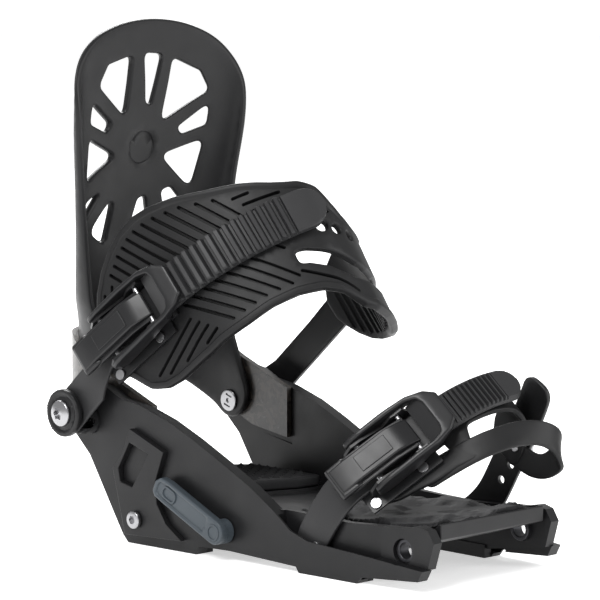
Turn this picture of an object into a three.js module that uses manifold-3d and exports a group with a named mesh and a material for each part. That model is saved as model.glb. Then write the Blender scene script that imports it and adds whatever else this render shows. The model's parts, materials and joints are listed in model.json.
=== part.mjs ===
// Splitboard touring binding: chassis, heelcup, folding highback, ankle strap, toe strap and the
// lever-driven lock that holds the binding on its pucks. Millimetres, +X to the toe, +Z up.
// The design frame has X = 0 on the touring pivot, Y = 0 in the middle and Z = 0 on the sole;
// the finished group is then moved so that its origin is at the middle of its footprint.
import * as THREE from 'three';
import { mergeVertices, mergeGeometries } from 'three/addons/utils/BufferGeometryUtils.js';
import Module from 'manifold-3d';

const wasm = await Module();
wasm.setup();

// ---------------------------------------------------------------- driving dimensions
const GAP = 0.3; // running gap between separate pieces
const WALL = 7; // side wall thickness
const PIVOT = { x: 0, z: 19 }; // touring pivot in the toe cheeks
const HIGHBACK_AXIS = { x: -219, z: 63 };
const ANKLE_AXIS = { x: -226.5, z: 67 };
const TOE_AXIS = { x: -57, z: 15 };
const LOCK_AXIS = { x: -117, z: 15.5 };
const HEEL_X = -223; // centre of the heelcup's half circle
const CUP_RADIUS = 51.7; // outside of the heelcup
const CUP_SKIN = 3.4;
const SHELL_SKIN = 4; // highback thickness
const PAD_SKIN = 4; // ankle pad thickness
const BAR = { plate0: 4.3, plate1: 5.8, strap0: 6.1, strap1: 8.9, tooth: 10.4, pin: 12.5 }; // buckle layers
// half width of the outside of the side walls along the binding
const WALL_LINE = [[-300, 59], [-200, 59], [-120, 56.5], [-60, 54.5], [-20, 53.5], [30, 51.5]];
const SIDES = [['near', -1], ['far', 1]];

// ---------------------------------------------------------------- colours
const look = (color, roughness = 0.55, metalness = 0) =>
  new THREE.MeshStandardMaterial({ color, roughness, metalness });
const LOOKS = {
  shell: look(0x1b1b1d),
  carbon: look(0x3a342e, 0.35),
  foam: look(0x2a2a2c, 0.85),
  ladder: look(0x3a3a3c, 0.6),
  strap: look(0x222224, 0.6),
  buckle: look(0x2c2d30, 0.45, 0.3),
  lever: look(0x4c565e, 0.45, 0.2),
  steel: look(0xc9cacc, 0.25, 1),
  darkSteel: look(0x4a4a4c, 0.4, 0.8),
};

// ---------------------------------------------------------------- solids
function toSolid(geometry) {
  const bare = geometry.clone();
  bare.deleteAttribute('normal');
  bare.deleteAttribute('uv');
  const merged = mergeVertices(bare, 1e-4);
  return new wasm.Manifold(new wasm.Mesh({
    numProp: 3,
    vertProperties: new Float32Array(merged.attributes.position.array),
    triVerts: new Uint32Array(merged.index.array),
  }));
}

function toGeometry(solid) {
  const mesh = solid.getMesh();
  const geometry = new THREE.BufferGeometry();
  geometry.setAttribute('position', new THREE.BufferAttribute(new Float32Array(mesh.vertProperties), 3));
  geometry.setIndex(new THREE.BufferAttribute(new Uint32Array(mesh.triVerts), 1));
  return geometry;
}

const join = (...solids) => solids.reduce((whole, piece) => whole.add(piece));
const cut = (whole, ...tools) => tools.reduce((left, tool) => left.subtract(tool), whole);

function outline(points, holes = []) {
  const loop = points.map(([a, b]) => new THREE.Vector2(a, b));
  const shape = new THREE.Shape(THREE.ShapeUtils.isClockWise(loop) ? loop.reverse() : loop);
  shape.holes = holes.map((hole) => new THREE.Path(hole.map(([a, b]) => new THREE.Vector2(a, b))));
  return shape;
}

/** A side-view outline (x, z) extruded along Y from y0 to y1. */
function sideBlock(points, y0, y1, holes = []) {
  const geometry = new THREE.ExtrudeGeometry(outline(points, holes), { depth: y1 - y0, bevelEnabled: false });
  geometry.rotateX(Math.PI / 2);
  geometry.translate(0, y1, 0);
  return toSolid(geometry);
}

/** A plan-view outline (x, y) extruded along Z from z0 to z1. */
function planBlock(points, z0, z1, holes = []) {
  const geometry = new THREE.ExtrudeGeometry(outline(points, holes), { depth: z1 - z0, bevelEnabled: false });
  geometry.translate(0, 0, z0);
  return toSolid(geometry);
}

/** A front-view outline (y, z) extruded along X from x0 to x1. */
function frontBlock(points, x0, x1) {
  const geometry = new THREE.ExtrudeGeometry(outline(points), { depth: x1 - x0, bevelEnabled: false });
  geometry.rotateZ(Math.PI / 2);
  geometry.rotateY(Math.PI / 2);
  geometry.translate(x0, 0, 0);
  return toSolid(geometry);
}

function box(x0, x1, y0, y1, z0, z1) {
  const geometry = new THREE.BoxGeometry(x1 - x0, y1 - y0, z1 - z0);
  geometry.translate((x0 + x1) / 2, (y0 + y1) / 2, (z0 + z1) / 2);
  return toSolid(geometry);
}

/** A round bar along Y at (x, z). */
function rod(x, z, radius, y0, y1, sides = 20) {
  const geometry = new THREE.CylinderGeometry(radius, radius, y1 - y0, sides);
  geometry.translate(x, (y0 + y1) / 2, z);
  return toSolid(geometry);
}

/** A turned piece on the Y axis at (x, z): profile of [radius, y], side = -1 mirrors it to the near side. */
function turned(x, z, profile, side = 1, sides = 24) {
  const geometry = new THREE.LatheGeometry(profile.map(([r, y]) => new THREE.Vector2(r, y)), sides);
  if (side < 0) geometry.rotateX(Math.PI);
  geometry.translate(x, 0, z);
  return toSolid(geometry);
}

/** The layer between two offsets from the outside of one side wall, over the whole height. */
function wallLayer(side, inner, outer) {
  const near = WALL_LINE.map(([x, y]) => [x, side * (y + outer)]);
  const far = WALL_LINE.map(([x, y]) => [x, side * (y + inner)]).reverse();
  const loop = [...near, ...far];
  return planBlock(side < 0 ? loop : loop.reverse(), -5, 130);
}

/** A side-view outline kept to a layer of one side wall. */
const sidePanel = (side, points, inner, outer, holes = []) =>
  sideBlock(points, -90, 90, holes).intersect(wallLayer(side, inner, outer));

// ---------------------------------------------------------------- strap space
/**
 * Places (t along, w across, h out) on a strap. Its inner line starts upwards on the near side at
 * y = -start and is a chain of legs, [length, turn in degrees], in the strap's own slanted plane; the
 * last leg runs straight down the far side to the pivot. A cone above 0 narrows the arch towards +w.
 */
function strapSpace({ origin, degrees, start, legs, cone = 0 }) {
  const angle = THREE.MathUtils.degToRad(degrees);
  const along = new THREE.Vector3(Math.cos(angle), 0, Math.sin(angle));
  const across = new THREE.Vector3(Math.sin(angle), 0, -Math.cos(angle));
  const walk = (t) => {
    const at = { y: -start, rise: Math.min(t, 0), lean: 0 };
    let left = Math.max(t, 0);
    for (const [length, turn] of [...legs, [Infinity, 0]]) {
      const run = Math.min(left, length);
      const bend = turn ? THREE.MathUtils.degToRad(turn) * (run / length) : 0;
      const chord = bend ? (run * Math.sin(bend / 2)) / (bend / 2) : run;
      at.y += chord * Math.sin(at.lean + bend / 2);
      at.rise += chord * Math.cos(at.lean + bend / 2);
      at.lean += bend;
      left -= run;
    }
    return at;
  };
  const frame = (t) => {
    const { y, rise, lean } = walk(t);
    return {
      point: new THREE.Vector3(origin.x, y, origin.z).addScaledVector(along, rise),
      run: new THREE.Vector3(0, Math.sin(lean), 0).addScaledVector(along, Math.cos(lean)),
      out: new THREE.Vector3(0, -Math.cos(lean), 0).addScaledVector(along, Math.sin(lean)),
      lean,
    };
  };
  const place = (t, w, h) => {
    const { point, out, lean } = frame(t);
    return point.addScaledVector(out, h - cone * w * Math.sin(lean) ** 2).addScaledVector(across, w);
  };
  const legsLength = legs.reduce((sum, [length]) => sum + length, 0);
  return { place, frame, across, length: legsLength + walk(legsLength).rise };
}

/** Closed solid through rings of four corners each. */
function ringSolid(rings) {
  const position = [];
  rings.forEach((ring) => ring.forEach((corner) => position.push(corner.x, corner.y, corner.z)));
  const index = [];
  for (let i = 0; i < rings.length - 1; i += 1) {
    for (let k = 0; k < 4; k += 1) {
      const a = 4 * i + k;
      const b = 4 * i + ((k + 1) % 4);
      index.push(a, b, b + 4, a, b + 4, a + 4);
    }
  }
  const end = 4 * (rings.length - 1);
  index.push(0, 2, 1, 0, 3, 2, end, end + 1, end + 2, end, end + 2, end + 3);
  const geometry = new THREE.BufferGeometry();
  geometry.setAttribute('position', new THREE.BufferAttribute(new Float32Array(position), 3));
  geometry.setIndex(index);
  const solid = toSolid(geometry);
  if (solid.volume() > 0) return solid;
  geometry.setIndex(index.map((value, i) => index[i - (i % 3) + [0, 2, 1][i % 3]]));
  return toSolid(geometry);
}

/** A strip in strap space: stations [t, w0, w1, top], between h0 and h1 (or the station's own top). */
function strip(space, stations, h0, h1) {
  return ringSolid(stations.map(([t, w0, w1, top = h1]) => [
    space.place(t, w0, h0), space.place(t, w1, h0), space.place(t, w1, top), space.place(t, w0, top)]));
}

/** A free strip through centre points [x, y, z, widthX, widthZ], its width lying in XZ. */
function ribbon(points, width, thick) {
  const centre = points.map(([x, y, z]) => new THREE.Vector3(x, y, z));
  return ringSolid(points.map(([, , , wx, wz], i) => {
    const run = new THREE.Vector3().subVectors(
      centre[Math.min(i + 1, centre.length - 1)], centre[Math.max(i - 1, 0)]).normalize();
    const wide = new THREE.Vector3(wx, 0, wz).normalize();
    wide.addScaledVector(run, -wide.dot(run)).normalize();
    const out = new THREE.Vector3().crossVectors(run, wide).normalize();
    const corner = (a, b) => centre[i].clone().addScaledVector(wide, (a * width) / 2).addScaledVector(out, b * thick);
    return [corner(-1, 0), corner(1, 0), corner(1, 1), corner(-1, 1)];
  }));
}

/** A round bar across the strap (along its width) at (t, h). */
function crossRod(space, t, h, radius, w0, w1, sides = 14) {
  const geometry = new THREE.CylinderGeometry(radius, radius, w1 - w0, sides);
  const a = space.place(t, w0, h);
  const b = space.place(t, w1, h);
  geometry.applyQuaternion(new THREE.Quaternion().setFromUnitVectors(
    new THREE.Vector3(0, 1, 0), b.clone().sub(a).normalize()));
  const middle = a.add(b).multiplyScalar(0.5);
  geometry.translate(middle.x, middle.y, middle.z);
  return toSolid(geometry);
}

/** A round bar through the strap (along its outward direction) at (t, w). */
function throughRod(space, t, w, radius, h0, h1, sides = 14) {
  const a = space.place(t, w, h0);
  const b = space.place(t, w, h1);
  const geometry = new THREE.CylinderGeometry(radius, radius, a.distanceTo(b), sides);
  geometry.applyQuaternion(new THREE.Quaternion().setFromUnitVectors(
    new THREE.Vector3(0, 1, 0), b.clone().sub(a).normalize()));
  const middle = a.add(b).multiplyScalar(0.5);
  geometry.translate(middle.x, middle.y, middle.z);
  return toSolid(geometry);
}

/** A rigid piece on a strap: a (t, h) outline in the frame of the strap at t = base, between two widths. */
function strapProfile(space, base, points, w0, w1) {
  const geometry = new THREE.ExtrudeGeometry(outline(points.map(([t, h]) => [t - base, h])),
    { depth: w1 - w0, bevelEnabled: false });
  const { point, run, out } = space.frame(base);
  point.addScaledVector(space.across, w0);
  geometry.applyMatrix4(new THREE.Matrix4().makeBasis(run, out, space.across).setPosition(point));
  return toSolid(geometry);
}

// ---------------------------------------------------------------- scene
const binding = new THREE.Group();
function add(name, solid, material) {
  const mesh = new THREE.Mesh(toGeometry(solid), material);
  mesh.name = name;
  binding.add(mesh);
}

// ---------------------------------------------------------------- chassis
const RAIL = [
  [-216, 83], [-205, 81], [-195, 76.5], [-180, 74], [-160, 68], [-141, 60], [-120, 50], [-100, 40], [-84, 30],
  [-72, 21], [-60, 17], [-20, 14.5], [17, 11.5], [14, 6], [-23, 3.5], [-26, 0], [-66, 0], [-68, 3], [-115, 5],
  [-137, 4.5], [-139, 0], [-190, 0], [-194, 4], [-212, 32], [-220, 44], [-231, 54], [-238, 62], [-238.5, 70],
  [-234, 78], [-226, 82.5]];
const CHEEK = [
  [-84, 30], [-60, 29], [-38, 28.5], [0, 30.5], [10, 32.5], [16, 31], [20, 25], [16, 11.5], [-25, 5], [-84, 4]];

const REAR_FOOT = [[-190, 0], [-139, 0], [-139, 4], [-190, 4]];
const FRONT_FOOT = [[-66, 0], [-26, 0], [-26, 7], [-66, 7]];
const STRAP_POCKET = [[-80, 2], [-16, 2], [-12, 40], [-82, 40]];
const COVER_SCREW = { x: -180, z: 14 };

function sideWall(side) {
  const wall = join(sidePanel(side, RAIL, -WALL, 0), sidePanel(side, CHEEK, -WALL - 4, -WALL + 2),
    sidePanel(side, REAR_FOOT, -WALL - 5, -1), sidePanel(side, FRONT_FOOT, -WALL - 5, -1));
  const strapBoss = turned(ANKLE_AXIS.x, ANKLE_AXIS.z, [[0, 55], [13, 55], [12, 64], [0, 64]], side);
  const ring = turned(HIGHBACK_AXIS.x, HIGHBACK_AXIS.z, [[0, 55], [8, 55], [7.5, 60.4], [0, 60.4]], side);
  return cut(join(wall, strapBoss, ring), sidePanel(side, STRAP_POCKET, -WALL - 0.1, -1.2));
}

function chassisBores() {
  const through = [[ANKLE_AXIS, 3.6], [HIGHBACK_AXIS, 4.6], [PIVOT, 6.4], [LOCK_AXIS, 4.4]]
    .map(([{ x, z }, radius]) => rod(x, z, radius, -90, 90));
  const blind = SIDES.flatMap(([, side]) => [
    turned(TOE_AXIS.x, TOE_AXIS.z, [[0, 30], [3.3, 30], [3.3, 39.7], [2.3, 39.7], [2.3, 53], [0, 53]], side, 16),
    turned(COVER_SCREW.x, COVER_SCREW.z, [[0, 50], [2.8, 50], [2.8, 65], [0, 65]], side, 16),
  ]);
  return [...through, ...blind];
}

const HEEL_FRONT = [[-142, 52], [-144, 30], [-150, 12], [-152, 0], [-150, -12], [-144, -30], [-142, -52]];
const HEEL_REAR = [[-198, -52], [-207, -40], [-211, -20], [-212, 0], [-211, 20], [-207, 40], [-198, 52]];
function heelBridge() {
  const deck = planBlock([...HEEL_REAR, ...HEEL_FRONT], 15, 24);
  const shelf = box(-196, -100, -52, 52, 9, 22);
  const hookSlots = [-1, 1].map((side) => box(-131, -103, side * 27 - 5, side * 27 + 5, 0, 30));
  const lightening = box(-190, -140, -38, 38, 0, 14);
  return cut(join(deck, shelf), ...hookSlots, lightening);
}

const TOE_DECK = [[-84, 16], [-84, 25], [-20, 25.5], [-2, 26.5], [-2, 20], [-14, 16]];
const toeBridge = () => sideBlock(TOE_DECK, -46, 46);

function chassis() {
  const whole = join(sideWall(-1), sideWall(1), heelBridge(), toeBridge());
  const cupSeats = SIDES.map(([, side]) => sideBlock(
    [[-300, 95], [-177, 95], [-177, 42], [-206, 47], [-228, 57], [-300, 80]],
    side < 0 ? -CUP_RADIUS - GAP : 0, side < 0 ? 0 : CUP_RADIUS + GAP));
  return cut(whole, ...cupSeats, ...chassisBores());
}
add('chassis', chassis(), LOOKS.shell);

// ---------------------------------------------------------------- heelcup
const CUP_SIDE = [
  [-280, 79], [-280, 106], [-256, 106], [-236, 98], [-215, 88], [-195, 80], [-178, 73.5], [-178, 46], [-206, 50.5],
  [-228, 61], [-255, 76]];
function cupBand(outer, inner) {
  const arc = (radius) => Array.from({ length: 19 }, (_, i) => {
    const turn = Math.PI / 2 + (Math.PI * i) / 18;
    return [HEEL_X + radius * Math.cos(turn), radius * Math.sin(turn)];
  });
  return planBlock([[-170, outer], ...arc(outer), [-170, -outer], [-170, -inner], ...arc(inner).reverse(),
    [-170, inner]], 30, 120);
}
function heelcup() {
  const bores = [
    rod(HIGHBACK_AXIS.x, HIGHBACK_AXIS.z, 4.6, -60, 60),
    rod(ANKLE_AXIS.x, ANKLE_AXIS.z, 3.6, -60, 60),
  ];
  return cut(cupBand(CUP_RADIUS, CUP_RADIUS - CUP_SKIN).intersect(sideBlock(CUP_SIDE, -60, 60)), ...bores);
}
add('heelcup', heelcup(), LOOKS.carbon);

// ---------------------------------------------------------------- covers and hardware on the chassis
const COVER = [
  [-185, 62], [-159.5, 52], [-165.5, 36], [-164.5, 24], [-158, 14], [-146.5, 6.5], [-189, 5], [-198, 40], [-191, 47]];
const COVER_WINDOW = [[-185, 54.5], [-171, 50], [-183, 31], [-192, 33], [-193.5, 40]];
for (const [name, side] of SIDES) {
  const bore = turned(COVER_SCREW.x, COVER_SCREW.z, [[0, 50], [2.8, 50], [2.8, 70], [0, 70]], side, 16);
  add(`${name}_cover_plate`, cut(sidePanel(side, COVER, GAP, 3.8, [COVER_WINDOW]), bore), LOOKS.shell);
  add(`${name}_cover_screw`, turned(COVER_SCREW.x, COVER_SCREW.z,
    [[0, 51], [2.5, 51], [2.5, 62.7], [4.6, 62.7], [4.6, 64.4], [3.6, 65.4], [0, 65.4]], side), LOOKS.steel);
  add(`${name}_pivot_bush`, cut(
    turned(PIVOT.x, PIVOT.z, [[0, 39], [6.1, 39], [6.1, 46], [0, 46]], side),
    rod(PIVOT.x, PIVOT.z, 4, -60, 60)), LOOKS.darkSteel);
  add(`${name}_toe_strap_screw`, turned(TOE_AXIS.x, TOE_AXIS.z,
    [[0, 37], [3, 37], [3, 39.4], [2, 39.4], [2, 52], [0, 52]], side, 16), LOOKS.steel);
  add(`${name}_highback_bolt`, cut(turned(HIGHBACK_AXIS.x, HIGHBACK_AXIS.z,
    [[0, 42.4], [6, 42.4], [6, 43.6], [4.2, 43.6], [4.2, 59], [0, 59]], side),
    box(-225, -213, side < 0 ? -43 : 42, side < 0 ? -42 : 43, HIGHBACK_AXIS.z - 0.8, HIGHBACK_AXIS.z + 0.8)),
    LOOKS.steel);
}

// hub of the ankle strap: bolt head over a wide washer on the near side, a plain bolt on the far side
add('near_strap_washer', cut(
  turned(ANKLE_AXIS.x, ANKLE_AXIS.z, [[0, 69.2], [12.8, 69.2], [12.8, 71.6], [11.4, 73], [0, 73]], -1),
  rod(ANKLE_AXIS.x, ANKLE_AXIS.z, 3.6, -80, 0)), LOOKS.shell);
add('near_strap_bolt', turned(ANKLE_AXIS.x, ANKLE_AXIS.z,
  [[0, 52.2], [3.2, 52.2], [3.2, 73.3], [7, 73.3], [6.6, 74.8], [4.5, 76], [0, 76.4]], -1), LOOKS.steel);
add('far_strap_bolt', turned(ANKLE_AXIS.x, ANKLE_AXIS.z,
  [[0, 52.2], [3.2, 52.2], [3.2, 68], [8, 68], [7.4, 70], [4.5, 71.4], [0, 71.8]], 1), LOOKS.steel);

// plate at the back edge of the sole that meets the climbing rest
add('heel_catch_plate', box(-217, -196.5, -44, 44, 10, 12.5), LOOKS.darkSteel);

// ---------------------------------------------------------------- footbeds
function heelPad() {
  const rear = HEEL_REAR.map(([x, y]) => [x + 1.5, y * 0.8]);
  const front = HEEL_FRONT.map(([x, y]) => [x - 1.5, y * 0.8]);
  return planBlock([...rear, ...front], 24 + GAP, 30);
}
add('heel_pad', heelPad(), LOOKS.foam);
const TOE_RAMP = [
  [-1.5, 22], [-1.5, 27], [-19, 25.8], [-19, 27.5], [12, 30.5], [15.5, 33.5], [17, 33.5], [17, 25.5], [6, 22]];
add('toe_ramp', sideBlock(TOE_RAMP, -38.5, 38.5), LOOKS.shell);
const TOE_PAD = [
  [-82, 25.8], [-82, 30], [-19, 31.6], [13, 34.8], [13, 32.2], [11, 30.8], [-19.5, 27.9], [-19.5, 25.9]];
add('toe_pad', sideBlock(TOE_PAD, -37.5, 37.5), LOOKS.foam);

// ---------------------------------------------------------------- puck lock
const LOCK_LENGTH = 49;
function lockLever() {
  const rise = THREE.MathUtils.degToRad(155.5);
  const dir = [Math.cos(rise), Math.sin(rise)];
  const side = [-dir[1], dir[0]];
  const at = (a, b) => [LOCK_AXIS.x + a * dir[0] + b * side[0], LOCK_AXIS.z + a * dir[1] + b * side[1]];
  const nose = Array.from({ length: 9 }, (_, i) => {
    const turn = Math.PI / 2 + (Math.PI * i) / 8;
    return at(6.4 * Math.cos(turn), 6.4 * Math.sin(turn));
  });
  const bar = sideBlock([...nose, at(LOCK_LENGTH - 3, -5.4), at(LOCK_LENGTH, -2), at(LOCK_LENGTH, 4),
    at(LOCK_LENGTH - 2, 6)], -66, -61);
  const slot = sideBlock([at(36, -2), at(36, 1.5), at(43, 1.5), at(43, -2)], -67, -64.5);
  const boss = rod(LOCK_AXIS.x, LOCK_AXIS.z, 6.4, -61.5, -57.2);
  return cut(join(bar, boss), slot, rod(LOCK_AXIS.x, LOCK_AXIS.z, 4.3, -64, -50));
}
add('lock_lever', lockLever(), LOOKS.lever);
add('lock_shaft', rod(LOCK_AXIS.x, LOCK_AXIS.z, 4, -63.7, 55, 16), LOOKS.darkSteel);
for (const [name, side] of SIDES) {
  const hook = sideBlock([
    [LOCK_AXIS.x + 7, LOCK_AXIS.z + 3], [LOCK_AXIS.x + 3, LOCK_AXIS.z + 7], [LOCK_AXIS.x - 4, LOCK_AXIS.z + 6.5],
    [LOCK_AXIS.x - 7, LOCK_AXIS.z], [LOCK_AXIS.x - 5, LOCK_AXIS.z - 8], [LOCK_AXIS.x + 6, LOCK_AXIS.z - 10.5],
    [LOCK_AXIS.x + 6.5, LOCK_AXIS.z - 8], [LOCK_AXIS.x, LOCK_AXIS.z - 6], [LOCK_AXIS.x + 6.5, LOCK_AXIS.z - 2]],
    side * 27 - 3.5, side * 27 + 3.5);
  add(`${name}_lock_hook`, cut(hook, rod(LOCK_AXIS.x, LOCK_AXIS.z, 4.3, -60, 60)), LOOKS.steel);
}

// ---------------------------------------------------------------- highback
// section by height: [z, half width, x of the spine, depth of the curve]
const SECTIONS = [
  [50, 48, -271, 48], [104, 48, -271, 48], [112, 50, -267.5, 43], [125, 53.5, -262, 33], [150, 55.5, -256, 27],
  [183, 57.5, -250, 21], [215, 62, -244.5, 19], [240, 63.5, -240.5, 17], [280, 63.5, -236, 15]];
const SIDE_FRONT = [
  [-290, 79], [-255, 76], [-231, 60], [-226, 55], [-219, 52.5], [-211, 56], [-206, 63], [-206, 71], [-213, 87],
  [-219, 102], [-225, 118], [-227, 150], [-228, 183], [-224, 215], [-222, 240], [-219, 290], [-290, 290]];
const FRONT_VIEW = [
  [-70, 40], [70, 40], [70, 240], [61, 250], [53, 261], [42, 268], [22, 274], [0, 276], [-22, 274], [-42, 268],
  [-53, 261], [-61, 250], [-70, 240]];
const WINDOWS = [
  [[-13, 256], [-33, 251], [-40, 240], [-15, 222]], [[-4, 257], [10, 256], [4, 228], [0, 230]],
  [[18, 254], [38, 246], [45, 235], [13, 218]], [[-45, 232], [-26, 219], [-29, 214], [-46, 220]],
  [[46, 228], [45, 216], [29, 211], [26, 215]], [[-46, 212], [-19, 201], [-46, 187]],
  [[44, 208], [38, 181], [16, 200]], [[-29, 183], [-46, 176], [-46, 166]],
  [[-17, 180], [-38, 160], [-22, 152]], [[19, 180], [25, 182], [40, 166], [27, 156]],
  [[7, 178], [2, 176], [-4, 152], [14, 154]]];

function shellRing([z, half, spine, depth]) {
  const steps = 14;
  const side = (inset) => {
    const points = [];
    points.push([-198, -(half - inset)]);
    for (let i = -steps; i <= steps; i += 1) {
      const turn = (Math.PI / 2) * (i / steps);
      points.push([spine + inset + (depth - inset) * (1 - Math.cos(turn)), (half - inset) * Math.sin(turn)]);
    }
    points.push([-198, half - inset]);
    return points;
  };
  return { z, outer: side(0), inner: side(SHELL_SKIN) };
}

function shellSolid(sections) {
  const rings = sections.map(shellRing);
  const count = rings[0].outer.length;
  const position = [];
  const index = [];
  rings.forEach(({ z, outer, inner }) => {
    outer.forEach(([x, y]) => position.push(x, y, z));
    inner.forEach(([x, y]) => position.push(x, y, z));
  });
  const at = (ring, layer, i) => ring * 2 * count + layer * count + i;
  const quad = (a, b, c, d) => index.push(a, b, c, a, c, d);
  for (let r = 0; r < rings.length - 1; r += 1) {
    for (let i = 0; i < count - 1; i += 1) {
      quad(at(r, 0, i), at(r + 1, 0, i), at(r + 1, 0, i + 1), at(r, 0, i + 1));
      quad(at(r, 1, i), at(r, 1, i + 1), at(r + 1, 1, i + 1), at(r + 1, 1, i));
    }
    quad(at(r, 0, 0), at(r, 1, 0), at(r + 1, 1, 0), at(r + 1, 0, 0));
    quad(at(r, 0, count - 1), at(r + 1, 0, count - 1), at(r + 1, 1, count - 1), at(r, 1, count - 1));
  }
  const top = rings.length - 1;
  for (let i = 0; i < count - 1; i += 1) {
    quad(at(0, 0, i), at(0, 0, i + 1), at(0, 1, i + 1), at(0, 1, i));
    quad(at(top, 0, i), at(top, 1, i), at(top, 1, i + 1), at(top, 0, i + 1));
  }
  const geometry = new THREE.BufferGeometry();
  geometry.setAttribute('position', new THREE.BufferAttribute(new Float32Array(position), 3));
  geometry.setIndex(index);
  const solid = toSolid(geometry);
  if (solid.volume() > 0) return solid;
  geometry.setIndex(index.map((value, i) => index[i - (i % 3) + [0, 2, 1][i % 3]]));
  return toSolid(geometry);
}

function highback() {
  const trimmed = shellSolid(SECTIONS).intersect(sideBlock(SIDE_FRONT, -80, 80));
  const blank = trimmed.intersect(frontBlock(FRONT_VIEW, -290, -190));
  const windows = WINDOWS.map((points) => frontBlock(points, -290, -215));
  return cut(blank, ...windows, rod(HIGHBACK_AXIS.x, HIGHBACK_AXIS.z, 4.6, -60, 60));
}
add('highback', highback(), LOOKS.shell);

// forward lean: a block that slides on the spine and stands on the rim of the heelcup, and its locking lever
const LEAN_PIN = { x: -281.5, z: 140 };
function leanBlock() {
  const side = [[-281, 106.5], [-262, 106.5], [-250, 148], [-252, 152], [-272, 152], [-280, 144], [-281, 125]];
  const body = sideBlock(side, -9, 9);
  const throat = box(-290, -276, -5.4, 5.4, 128, 156);
  const spine = SECTIONS.map(([z, , x]) => [x - 0.4, z]);
  const spineGap = sideBlock([...spine, [-200, 280], [-200, 50]], -20, 20);
  const ears = [[-9, -5.4], [5.4, 9]].map(([y0, y1]) => rod(LEAN_PIN.x, LEAN_PIN.z, 4, y0, y1, 14));
  return cut(join(body, ...ears), throat, spineGap, rod(LEAN_PIN.x, LEAN_PIN.z, 1.9, -20, 20, 12));
}
add('lean_block', leanBlock(), LOOKS.shell);
add('lean_pin', rod(LEAN_PIN.x, LEAN_PIN.z, 1.6, -8.8, 8.8, 12), LOOKS.steel);
const leanBar = sideBlock([[-286, 141], [-285, 144], [-280, 144.5], [-277.6, 142], [-281.2, 128], [-283.4, 112],
  [-287, 110], [-288.5, 112], [-287, 128]], -5, 5);
add('lean_lever', cut(leanBar, rod(LEAN_PIN.x, LEAN_PIN.z, 1.9, -20, 20, 12)), LOOKS.lever);

// ---------------------------------------------------------------- ratchet buckle
/** The pieces of a ratchet buckle on a straight leg of a strap, from t on, about the width w = middle. */
function buckle(prefix, space, t, long, middle) {
  const end = t + long;
  const plateEnd = end - 12;
  const driveAt = t + 14;
  const pawlAt = end - 23;
  const rivetW = middle + 16.5;
  const profile = (points, w0, w1) => strapProfile(space, t, points, middle + w0, middle + w1);
  const pin = (at, radius, half) => crossRod(space, at, BAR.pin, radius, middle - half, middle + half);
  const slab = (t0, t1) => [[t0, BAR.plate0], [t1, BAR.plate0], [t1, BAR.plate1], [t0, BAR.plate1]];
  const ear = [[t + 4, BAR.plate1 - 0.5], [t + 6, 12], [t + 11, 16], [t + 17, 16], [end - 32, 12.5],
    [end - 26, 15.8], [end - 19, 15.8], [end - 15, BAR.plate1 - 0.5]];
  const driveBore = pin(driveAt, 2.1, 20);
  const pawlBore = pin(pawlAt, 1.8, 20);
  const rivets = [t + 4.5, end - 28];
  const rivetBores = rivets.map((at) => throughRod(space, at, rivetW, 1.9, -3, 9));
  const base = join(profile(slab(t, plateEnd), -13.1, 13.1), profile(slab(t + 0.5, end - 18), 12, 20),
    profile(ear, -13.1, -11.6), profile(ear, 11.6, 13.1));
  add(`${prefix}_buckle_base`, cut(base, driveBore, pawlBore, ...rivetBores), LOOKS.buckle);

  const hubArc = Array.from({ length: 7 }, (_, i) => {
    const turn = Math.PI / 2 + (Math.PI * i) / 6;
    return [driveAt + 5.6 * Math.cos(turn), BAR.pin + 5.6 * Math.sin(turn)];
  });
  const arm = [...hubArc, [driveAt + 20, 8.6], [end - 8, 12.2], [end - 8, 16.4], [driveAt + 28, 19]];
  const bar = [[end - 16, 12.2], [end - 4, 11.8], [end, 13], [end, 15], [end - 4, 16.6], [end - 12, 16.9]];
  add(`${prefix}_buckle_lever`, cut(join(profile(arm, -16.4, -13.4), profile(arm, 13.4, 16.4),
    profile(bar, -16.4, 16.4)), driveBore), LOOKS.buckle);
  add(`${prefix}_lever_pin`, pin(driveAt, 1.8, 16.2), LOOKS.steel);

  const pawl = [[t - 8, 15.4], [t - 6, 19.4], [t + 4, 20.2], [pawlAt - 6, 19.2], [pawlAt + 2.6, 15.2],
    [pawlAt + 2.6, 12.2], [pawlAt - 1, 10.9], [pawlAt - 3, 11.2], [pawlAt - 6, 14.9], [t, 14.9]];
  add(`${prefix}_release_lever`, cut(profile(pawl, -9.6, 9.6), pawlBore), LOOKS.buckle);
  add(`${prefix}_release_pin`, pin(pawlAt, 1.5, 13), LOOKS.steel);
  rivets.forEach((at, i) => {
    const shank = throughRod(space, at, rivetW, 1.6, -0.2, 6.2);
    const head = throughRod(space, at, rivetW, 2.8, BAR.plate1 + 0.1, BAR.plate1 + 1.2);
    add(`${prefix}_base_rivet_${i + 1}`, join(shank, head), LOOKS.steel);
  });
  return rivetBores;
}

/** A ladder strap: a plain arm, then teeth from first to last about a sliding middle, and a round tip. */
function ladder(space, arm, { half, first, last, tip, pitch, from, to }) {
  const top = BAR.strap1 + 0.6;
  const across = (t, share = 1) => {
    const middle = THREE.MathUtils.mapLinear(t, first, tip, from, to);
    return [t, middle - share * half, middle + share * half];
  };
  const stations = arm.map((station) => [...station, BAR.strap1]);
  for (let t = first; t < last - 0.1; t += pitch) {
    stations.push([...across(t), BAR.strap1], [...across(t + 0.55 * pitch), BAR.tooth],
      [...across(t + 0.8 * pitch), BAR.tooth]);
  }
  stations.push([...across(last), BAR.strap1], [...across(last + 1), top], [...across(tip - 9), top],
    [...across(tip - 4, 0.85), top], [...across(tip - 1, 0.55), top], [...across(tip, 0.25), BAR.strap1]);
  return strip(space, stations, BAR.strap0, BAR.strap1);
}

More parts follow.
